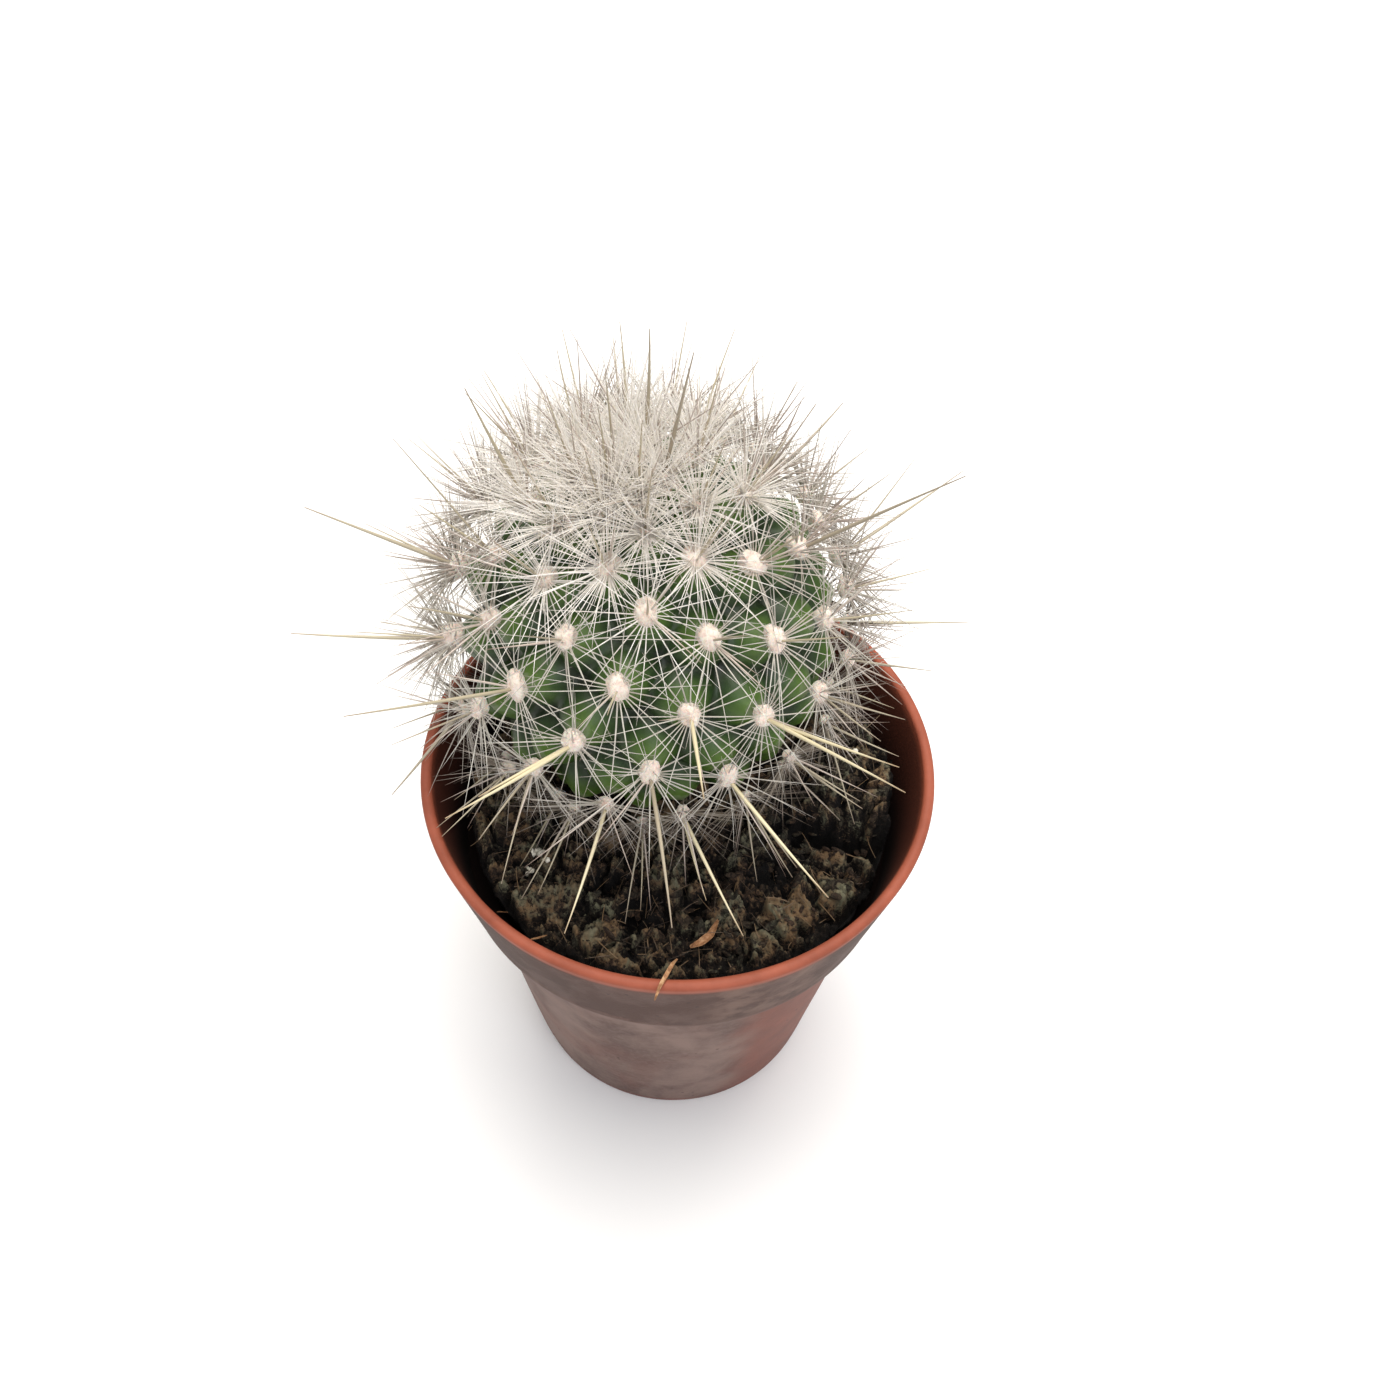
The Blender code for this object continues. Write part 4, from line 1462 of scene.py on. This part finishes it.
@dataclass
class CactusStem:
    """The green body with its tubercles and the neck that goes into the soil."""

    plan: GlobePlan
    soil: RootBall
    pad_height: float = 0.7 * MM
    tip_drop: float = 0.45 * MM
    tubercle_height: float = 3.4 * MM
    tubercle_width: float = 4.9 * MM
    neck_start: float = 0.62
    detail: int = 6

    def build(self) -> bpy.types.Object:
        """Displaces a fine icosphere by the distance to the nearest areoles."""
        plan = self.plan
        bm = bmesh.new()
        bmesh.ops.create_icosphere(bm, subdivisions=self.detail, radius=1.0)
        mesh = bpy.data.meshes.new("stem")
        bm.to_mesh(mesh)
        bm.free()
        count = len(mesh.vertices)
        unit = np.zeros(count * 3, np.float32)
        mesh.vertices.foreach_get("co", unit)
        unit = unit.reshape(-1, 3).astype(float)
        unit /= np.linalg.norm(unit, axis=1)[:, None]
        turn = np.array(plan.turn)
        squash = np.array((1.0, 1.0, plan.flattening))
        centre = np.array(plan.centre)
        shell = (unit * squash * plan.radius) @ turn.T + centre
        sites = np.array([tuple(a.place) for a in plan.areoles])
        gaps = np.sort(np.linalg.norm(shell[:, None] - sites[None], axis=2), axis=1)[:, :2]
        share = np.clip(gaps[:, 0] / self.tubercle_width, 0, 1)
        crease = np.clip((gaps[:, 1] - gaps[:, 0]) / (1.6 * MM), 0, 1)
        drop = self.tubercle_height * (share**1.35) + 0.45 * MM * (1 - crease) ** 2
        radius = plan.radius - self.pad_height - self.tip_drop - drop
        local = unit * squash * radius[:, None]
        place = local @ turn.T + centre
        down = np.clip((-unit[:, 2] - self.neck_start) / (1 - self.neck_start), 0, 1)
        ease = np.clip(1.4 * down, 0, 1)
        ease = ease * ease * (3 - 2 * ease)
        sink = np.clip(1.6 * down, 0, 1)
        sink = sink * sink * (3 - 2 * sink)
        bearing = np.arctan2(place[:, 1] - centre[1], place[:, 0] - centre[0])
        ring = np.sqrt(np.clip(1 - unit[:, 2] ** 2, 0, 1)) / math.sqrt(1 - self.neck_start**2)
        width = self.soil.neck_radius * np.sqrt(np.clip(ring, 0, None))
        target = np.stack(
            [
                centre[0] + width * np.cos(bearing),
                centre[1] + width * np.sin(bearing),
                place[:, 2] + (self.soil.neck_foot - place[:, 2]) * sink,
            ],
            axis=1,
        )
        place = place + (target - place) * ease[:, None]
        mesh.vertices.foreach_set("co", place.astype(np.float32).ravel())
        # The rise drives the skin's painted light and shade: low in the grooves and along the creases between
        # tubercles.
        rise = mesh.attributes.new("rise", "FLOAT", "POINT")
        rise.data.foreach_set("value", ((1 - share) * (0.55 + 0.45 * crease)).astype(np.float32))
        mesh.shade_smooth()
        mesh.materials.append(SKIN.material())
        return finish_piece(new_mesh_object("cactus_body", mesh), Slot.SKIN, ["cactus_stem"])


@dataclass
class SpineCoat:
    """Wool, radial spines and central spines of every areole."""

    plan: GlobePlan
    pot: MouldedPot
    soil: RootBall
    radial_count: int = 25
    crown_radial_count: int = 112
    radial_length: float = 9.0 * MM
    crown_length: float = 9.2 * MM
    radial_radius: float = 0.068 * MM
    central_radius: float = 0.21 * MM
    pad_length: float = 1.4 * MM
    pad_width: float = 1.0 * MM
    pad_height: float = 0.9 * MM
    hair_count: int = 110
    comb: Vector = field(default_factory=lambda: Vector((-0.08, -0.8, 0.1)))
    stout: tuple[int, ...] = (41, 46, 49, 62, 67, 75)
    # second centrals: areole, length in mm, tilt and bearing in degrees
    second_centrals: tuple[tuple[int, float, float, float], ...] = (
        (75, 13, 15, 110),
        (88, 10, 12, -130),
        (83, 9, 3, 175),
        (83, 8.5, 24, -55),
        (70, 8, 12, 140),
        (80, 10, 12, -130),
        (59, 11, 21, 50),
        (78, 11, 44, -55),
        (72, 9, 15, -80),
        (57, 8, 18, -95),
        (49, 15.5, 12, 120),
        (46, 13, 20, -128),
        (60, 12.5, 33, 140),
        (22, 14.5, 21, -135),
        (19, 9.5, 9, 100),
    )
    seed: int = 5

    def is_clear(self, point: Vector) -> bool:
        """True where a spine meets neither the pot nor the soil."""
        gap = 0.3 * MM
        radius = math.hypot(point.x, point.y)
        if point.z > self.pot.height + gap:
            return True
        over_soil = point.z > self.soil.height(point.x, point.y) + 2 * gap
        return radius < self.pot.inner_radius(point.z) - gap and over_soil

    def settle(self, needle: Needle, areole: Areole) -> Needle | None:
        """Lifts or shortens a spine until it is clear of pot and soil.

        Args:
            needle: the spine as it would grow in the open.
            areole: its areole.

        Returns:
            The settled spine, or None if there is no room for it.
        """
        for lift in (0.0, 0.15, 0.3, 0.5, 0.8):
            direction = (needle.direction + areole.outward * lift + UP * lift * 0.5).normalized()
            for share in (1.0, 0.8, 0.6, 0.45):
                length = needle.length * share
                trial = Needle(needle.root, direction, length, needle.radius, needle.bow * share, needle.tone)
                middle = needle.root + direction * length * 0.5 + needle.bow * 0.25
                if self.is_clear(trial.tip()) and self.is_clear(middle):
                    return trial
        return None

    def youth(self, areole: Areole) -> float:
        """1 at the growing tip, falling to 0 at the first open row, which comes sooner on the sunny front."""
        front = max(0.0, -areole.outward.y)
        return 1 - smooth_step(10, 24, areole.number + 20 * (front - 0.25))

    def facing_away(self, areole: Areole) -> float:
        """0 on the front, rising to 1 towards the sides and back, where it also darkens the spines as painted shade.
        """
        return smooth_step(-0.75, 0.1, areole.outward.y)

    def age(self, number: int) -> float:
        """0 on the flank, rising to 1 on the oldest areoles."""
        return smooth_step(50, 80, number)

    def radials(self, areole: Areole, rng: random.Random) -> list[Needle]:
        """Radial spines of one areole: a star, more upright and crowded near the tip."""
        youth = self.youth(areole)
        turned_away = self.facing_away(areole)
        behind = smooth_step(-0.2, 0.15, areole.outward.y)
        age = self.age(areole.number)
        count = round(mix(self.radial_count, self.crown_radial_count, youth) * mix(1.0, 1.6, max(age, turned_away * (1 - youth))))
        first = rng.uniform(0, math.tau)
        rows = []
        for k in range(count):
            turn = first + math.tau * (k + rng.uniform(-0.3, 0.3)) / count
            sideways = areole.away * math.cos(turn) + areole.side * math.sin(turn)
            flank = rng.uniform(6, 24) if rng.random() < mix(0.75, 0.45, turned_away) else rng.uniform(20, 55)
            rise = math.radians(mix(flank, rng.uniform(12, 78), youth))
            direction = sideways * math.cos(rise) + areole.outward * math.sin(rise)
            swept = mix(rng.uniform(0.3, 1.1), rng.uniform(0.0, 0.7), behind)
            direction = (direction + self.comb * youth * swept).normalized()
            length = mix(self.radial_length, self.crown_length, youth) * rng.uniform(0.65, 1.12)
            length *= mix(1.0, 0.8, age)
            spread = mix(0.75, 0.3, max(youth, 0.6 * age))
            root = areole.place + sideways * spread * MM
            root += areole.outward * (0.05 + 0.25 * math.sin(rise)) * MM
            sway = areole.side * length * rng.gauss(0, mix(0.045, 0.07, age))
            bow = sway - areole.outward * length * rng.uniform(-0.02, 0.1)
            # The tone is random wear and age, plus painted shade on spines turned from the front.
            tone = min(1.0, max(0.0, rng.gauss(0.1, 0.16) + 0.6 * age + 0.5 * turned_away * (1 - youth)))
            radius = self.radial_radius * rng.uniform(0.7, 1.2) * mix(1.0, 0.85, max(youth, age)) * mix(1.0, 1.15, turned_away)
            needle = self.settle(Needle(root, direction, length, radius, bow, tone), areole)
            if needle:
                rows.append(needle)
        return rows

    def main_central(self, areole: Areole, rng: random.Random) -> Needle | None:
        """The main central spine, as the frame has it."""
        tip = self.plan.central_tip(areole)
        root = areole.place + areole.outward * 0.3 * MM
        along = tip - root
        long = areole.number in self.plan.long_centrals
        radius = self.central_radius * (rng.uniform(0.85, 1.0) if long else rng.uniform(0.5, 0.65))
        tone = rng.uniform(0.0, 0.15) if areole.number in self.stout else rng.uniform(0.45, 0.8)
        bow = areole.side * along.length * rng.uniform(-0.05, 0.05)
        return self.settle(Needle(root, along.normalized(), along.length, radius, bow, tone), areole)

    def second_central(self, number: int, length: float, tilt: float, bearing: float) -> Needle | None:
        """A further central spine.

        Args:
            number: its areole.
            length: its length in mm.
            tilt: angle off the areole's outward direction, in degrees.
            bearing: which way it tilts, in degrees from the direction away from the tip.

        Returns:
            The spine, or None if there is no room for it.
        """
        areole = self.plan.areoles[number - 1]
        lean, turn = math.radians(tilt), math.radians(bearing)
        sideways = areole.away * math.cos(turn) + areole.side * math.sin(turn)
        direction = areole.outward * math.cos(lean) + sideways * math.sin(lean)
        root = areole.place + areole.outward * 0.3 * MM
        radius = self.central_radius * (0.9 if number in self.stout else 0.55)
        tone = 0.1 if number in self.stout else 0.7
        bow = areole.side * length * 0.03 * MM
        return self.settle(Needle(root, direction, length * MM, radius, bow, tone), areole)

    def side_centrals(self, areole: Areole, rng: random.Random) -> list[Needle]:
        """Two or three thinner central spines that stand between the radials and the main one."""
        rows = []
        turned_away = self.facing_away(areole)
        youth = self.youth(areole)
        behind = smooth_step(-0.2, 0.15, areole.outward.y)
        most = mix(6.0, mix(3.0, 7.0, behind), youth)
        for _ in range(round(mix(1.5, most, turned_away) + rng.uniform(-0.5, 0.5))):
            turn = rng.uniform(0, math.tau)
            tilt = math.radians(rng.uniform(8, 50))
            sideways = areole.away * math.cos(turn) + areole.side * math.sin(turn)
            direction = areole.outward * math.cos(tilt) + sideways * math.sin(tilt)
            length = rng.uniform(5.5, mix(9.5, 12.0, youth * behind)) * MM
            root = areole.place + areole.outward * 0.3 * MM + sideways * 0.2 * MM
            bow = sideways * length * rng.uniform(-0.04, 0.04)
            radius = self.radial_radius * rng.uniform(1.2, 1.7)
            # The tone is random, plus painted shade on spines turned from the front.
            tone = rng.uniform(0.0, 0.3) + 0.5 * turned_away * mix(1.0, behind, youth)
            needle = self.settle(Needle(root, direction, length, radius, bow, tone), areole)
            if needle:
                rows.append(needle)
        return rows

    def hairs(self, areole: Areole, rng: random.Random) -> list[Needle]:
        """Short curly hairs that make the pad woolly."""
        rows = []
        centre = areole.place - areole.away * 0.3 * MM
        for _ in range(self.hair_count):
            turn = rng.uniform(0, math.tau)
            lift = math.acos(rng.uniform(0.05, 1.0))
            sideways = areole.away * math.cos(turn) + areole.side * math.sin(turn)
            direction = (areole.outward * math.cos(lift) + sideways * math.sin(lift)).normalized()
            root = centre + areole.away * math.cos(turn) * math.sin(lift) * self.pad_length * 0.8
            root += areole.side * math.sin(turn) * math.sin(lift) * self.pad_width * 0.8
            root += areole.outward * math.cos(lift) * self.pad_height * 0.7
            length = rng.uniform(0.2, 0.5) * MM
            bow = Vector((rng.gauss(0, 1), rng.gauss(0, 1), rng.gauss(0, 1))) * length * 0.5
            rows.append(Needle(root, direction, length, 0.03 * MM, bow, rng.uniform(0, 0.2)))
        return rows

    def pads(self, group: CrumbGroup) -> bpy.types.Object:
        """The woolly cushions, egg-shaped and set towards the tip of each tubercle."""
        rng = random.Random(self.seed + 2)
        rows = []
        for areole in self.plan.areoles:
            axes = Matrix((areole.away, areole.side, areole.outward)).transposed()
            shape = (self.pad_length, self.pad_width, self.pad_height)
            size = mix(1.0, 0.62, self.age(areole.number)) * rng.uniform(0.85, 1.08)
            place = areole.place - areole.away * 0.3 * MM
            tilt = Quaternion(areole.outward, rng.uniform(-0.5, 0.5))
            turn = tilt @ axes.to_quaternion()
            rows.append((place, turn, tuple(size * s * rng.uniform(0.88, 1.1) for s in shape)))
        return group.scatter("areole_wool_pads", rows, WOOL, 0.7 * MM, 0.9 * MM, detail=3)

    def build(self, needles: NeedleGroup, crumbs: CrumbGroup) -> None:
        """Grows the coat, piece by piece."""
        rng = random.Random(self.seed)
        plan = self.plan
        crown, flank, old, centrals, thin, hairs = [], [], [], [], [], []
        for areole in plan.areoles:
            star = self.radials(areole, rng)
            if areole.number <= plan.crown_count:
                crown += star
            elif areole.number <= plan.single_count:
                flank += star
            else:
                old += star
            main = self.main_central(areole, rng)
            if main:
                centrals.append(main)
            thin += self.side_centrals(areole, rng)
            hairs += self.hairs(areole, rng)
        centrals += [needle for row in self.second_centrals if (needle := self.second_central(*row))]
        single = [f"areole_{n:02d}_spines" for n in range(plan.crown_count + 1, plan.single_count + 1)]
        radial = needles.plant("radial_spines", flank, WHITE_HORN)
        finish_piece(radial, Slot.WHITE_SPINE, single)
        young = needles.plant("crown_spines", crown, CROWN_HORN)
        finish_piece(young, Slot.WHITE_SPINE, ["crown_wool_and_young_spines"])
        dried = needles.plant("old_spines", old, OLD_HORN)
        finish_piece(dried, Slot.OLD_SPINE, ["old_spine_wreath"])
        straw = needles.plant(
            "central_spines", centrals, STRAW_HORN, sides=6, rings=7, tip_share=0.22, taper_start=0.35
        )
        finish_piece(straw, Slot.STRAW_SPINE)
        tan = needles.plant("thin_central_spines", thin, TAN_HORN)
        finish_piece(tan, Slot.STRAW_SPINE)
        finish_piece(self.pads(crumbs), Slot.WHITE_SPINE)
        wool = needles.plant("areole_hairs", hairs, WOOL_HAIR, sides=3, rings=3, tip_share=0.5)
        finish_piece(wool, Slot.WHITE_SPINE)


# ---------------------------------------------------------------- litter


@dataclass
class Litter:
    """What lies on the soil and the rim: perlite, a husk and chaff."""

    pot: MouldedPot
    soil: RootBall

    def perlite(self, name: str, node: str, grains: list[tuple[float, float, float]], group: CrumbGroup) -> None:
        """Makes a few puffed grains.

        Args:
            name: name of the piece.
            node: the CAD node that it stands for.
            grains: x, y and half-size of each grain, in millimetres.
            group: the crumb tree.
        """
        rng = random.Random(len(name) + len(grains))
        rows = []
        for x, y, size in grains:
            height = self.soil.broken_height(x * MM, y * MM)
            place = Vector((x * MM, y * MM, height + size * 0.9 * MM))
            rows.append((place, random_turn(rng), (size * MM, size * 0.9 * MM, size * 0.8 * MM)))
        finish_piece(group.scatter(name, rows, PERLITE, 0.6 * MM, 0.8 * MM, detail=4), Slot.PERLITE, [node])

    def strip(
        self, name: str, spine: list[Vector], width: float, curl: float, node: str | None
    ) -> bpy.types.Object:
        """Makes a thin dry strip along a route.

        Args:
            name: name of the piece.
            spine: points along it.
            width: its greatest width.
            curl: how far its edges turn up.
            node: the CAD node that it stands for.

        Returns:
            The piece.
        """
        across = 7
        verts, faces = [], []
        rows = 24
        for row in range(rows + 1):
            share = row / rows
            k = min(int(share * (len(spine) - 1)), len(spine) - 2)
            part = share * (len(spine) - 1) - k
            place = spine[k].lerp(spine[k + 1], part)
            ahead = (spine[k + 1] - spine[k]).normalized()
            side = ahead.cross(UP).normalized()
            reach = width / 2 * math.sin(math.pi * mix(0.06, 0.97, share)) ** 0.7
            for column in range(across):
                offset = 2 * column / (across - 1) - 1
                lift = curl * offset * offset + 0.05 * MM * noise.noise(place / MM + Vector((offset, 0, 0)))
                verts.append(place + side * offset * reach + UP * lift)
        for row in range(rows):
            for column in range(across - 1):
                low = row * across + column
                faces.append((low, low + 1, low + across + 1, low + across))
        mesh = bpy.data.meshes.new(name)
        mesh.from_pydata([tuple(v) for v in verts], [], faces)
        strip = new_mesh_object(name, mesh)
        shell = strip.modifiers.new("Thickness", "SOLIDIFY")
        shell.thickness = 0.08 * MM
        shell.offset = 0.0
        smooth = strip.modifiers.new("Smooth", "SUBSURF")
        smooth.levels = 1
        smooth.render_levels = 1
        bpy.context.view_layer.update()
        strip = plain_mesh(strip, name)
        strip.data.shade_smooth()
        strip.data.materials.append(CHAFF.material())
        return finish_piece(strip, Slot.HUSK, [node] if node else None)

    def build(self, crumbs: CrumbGroup) -> None:
        """Places the litter."""
        self.perlite(
            "perlite_front",
            "perlite_grain_1",
            [
                (-14.8, -8.7, 0.54),
                (-14.2, -9.2, 0.5),
                (-15.2, -9.4, 0.46),
                (-15.6, -10.5, 0.42),
                (-15.1, -10.9, 0.4),
                (-15.5, -11.3, 0.36),
                (-13.6, -10.5, 0.3),
                (-13.3, -10.8, 0.24),
            ],
            crumbs,
        )
        self.perlite("perlite_right", "perlite_grain_2", [(19.4, 3.2, 0.36), (16.6, 1.2, 0.25)], crumbs)
        ground = self.soil.top + 1.0 * MM
        husk = [Vector(p) * MM for p in ((2.2, -20.4, 0.9), (3.2, -19.5, 0.2), (4.2, -18.6, 0.3), (4.9, -17.6, 1.7))]
        for point in husk:
            point.z += ground
        self.strip("curled_husk", husk, 0.85 * MM, 0.35 * MM, "dry_husk_leaf")
        rim = self.pot.height + 0.2 * MM
        over = [
            Vector((1.0, -23.4, 49.6)) * MM,
            Vector((0.6 * MM, -24.6 * MM, rim - 0.6 * MM)),
            Vector((0.1 * MM, -26.0 * MM, rim)),
            Vector((-0.5 * MM, -27.4 * MM, rim + 0.1 * MM)),
            Vector((-0.9 * MM, -28.6 * MM, rim - 0.3 * MM)),
        ]
        self.strip("chaff_over_rim", over, 0.42 * MM, 0.08 * MM, "straw_over_rim")
        near_left = [Vector(p) * MM for p in ((-16.6, -17.2, 45.8), (-16.7, -18.6, 48.4), (-16.8, -19.8, 50.6))]
        self.strip("chaff_left", near_left, 0.3 * MM, 0.05 * MM, None)
        near_front = [Vector(p) * MM for p in ((-12.2, -20.0, 46.6), (-12.8, -21.6, 49.0), (-13.2, -22.6, 50.6))]
        self.strip("chaff_front", near_front, 0.3 * MM, 0.05 * MM, None)


# ---------------------------------------------------------------- studio


@dataclass
class Studio:
    """Floor, lights and camera."""

    floor_size: float = 4.0
    camera_place: Vector = field(default_factory=lambda: Vector((1.97, -76.15, 154.52)) * MM)
    elevation: float = math.radians(51.0)
    roll: float = math.radians(2.76)
    lens: float = 30.61
    sensor: float = 36.0

    def floor(self) -> None:
        """A plain pale floor."""
        bm = bmesh.new()
        bmesh.ops.create_grid(bm, x_segments=1, y_segments=1, size=self.floor_size / 2)
        mesh = bpy.data.meshes.new("floor")
        bm.to_mesh(mesh)
        bm.free()
        mesh.materials.append(PAPER.material())
        new_mesh_object("floor", mesh)

    def light(self, name: str, place: Vector, aim: Vector, size: float, power: float, code: str) -> None:
        """Adds a square area light.

        Args:
            name: its name.
            place: where it hangs.
            aim: what it points at.
            size: side of the square.
            power: watts.
            code: hex colour.
        """
        data = bpy.data.lights.new(name, "AREA")
        data.shape = "SQUARE"
        data.size = size
        data.energy = power
        data.color = linear_rgba(code)[:3]
        lamp = bpy.data.objects.new(name, data)
        lamp.location = place
        lamp.rotation_euler = (place - aim).to_track_quat("Z", "Y").to_euler()
        bpy.context.scene.collection.objects.link(lamp)

    def lights(self) -> None:
        """Soft daylight from above, with an even white surround."""
        aim = Vector((0, 0, 0.05))
        self.light("sky_panel", Vector((0.02, 0.1, 0.6)), aim, 0.45, 4.6, "fffaf2")
        self.light("window_panel", Vector((0.2, -0.4, 0.45)), aim, 0.4, 1.5, "f6f8ff")
        world = bpy.data.worlds.new("surround")
        world.use_nodes = True
        background = world.node_tree.nodes["Background"]
        background.inputs["Color"].default_value = linear_rgba("ffffff")
        background.inputs["Strength"].default_value = 0.42
        bpy.context.scene.world = world

    def camera(self) -> None:
        """The camera above and in front, slightly rolled."""
        back = Vector((0, -math.cos(self.elevation), math.sin(self.elevation)))
        right = Vector((1, 0, 0))
        up = back.cross(right)
        right, up = (
            right * math.cos(self.roll) + up * math.sin(self.roll),
            up * math.cos(self.roll) - right * math.sin(self.roll),
        )
        data = bpy.data.cameras.new("camera")
        data.lens = self.lens
        data.sensor_width = self.sensor
        data.clip_start = 0.01
        data.clip_end = 20.0
        camera = bpy.data.objects.new("camera", data)
        turn = Matrix((right, up, back)).transposed().to_4x4()
        camera.matrix_world = Matrix.Translation(self.camera_place) @ turn
        bpy.context.scene.collection.objects.link(camera)
        bpy.context.scene.camera = camera

    def build(self) -> None:
        """Sets the studio up."""
        self.floor()
        self.lights()
        self.camera()
        bpy.context.scene.view_settings.view_transform = "Standard"


def write_sizes() -> None:
    """Updates the view layer."""
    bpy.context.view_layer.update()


def main() -> None:
    """Builds the object, piece by piece, and then the studio."""
    logging.basicConfig(level=logging.INFO, format="%(name)s: %(message)s")
    studio = Studio()
    studio.build()
    needles = NeedleGroup()
    crumbs = CrumbGroup()
    pot = MouldedPot()
    pot.build()
    plan = GlobePlan()
    soil = RootBall(pot, plan)
    soil.build(needles, crumbs)
    CactusStem(plan, soil).build()
    SpineCoat(plan, pot, soil).build(needles, crumbs)
    Litter(pot, soil).build(crumbs)
    write_sizes()


if __name__ == "__main__":
    main()
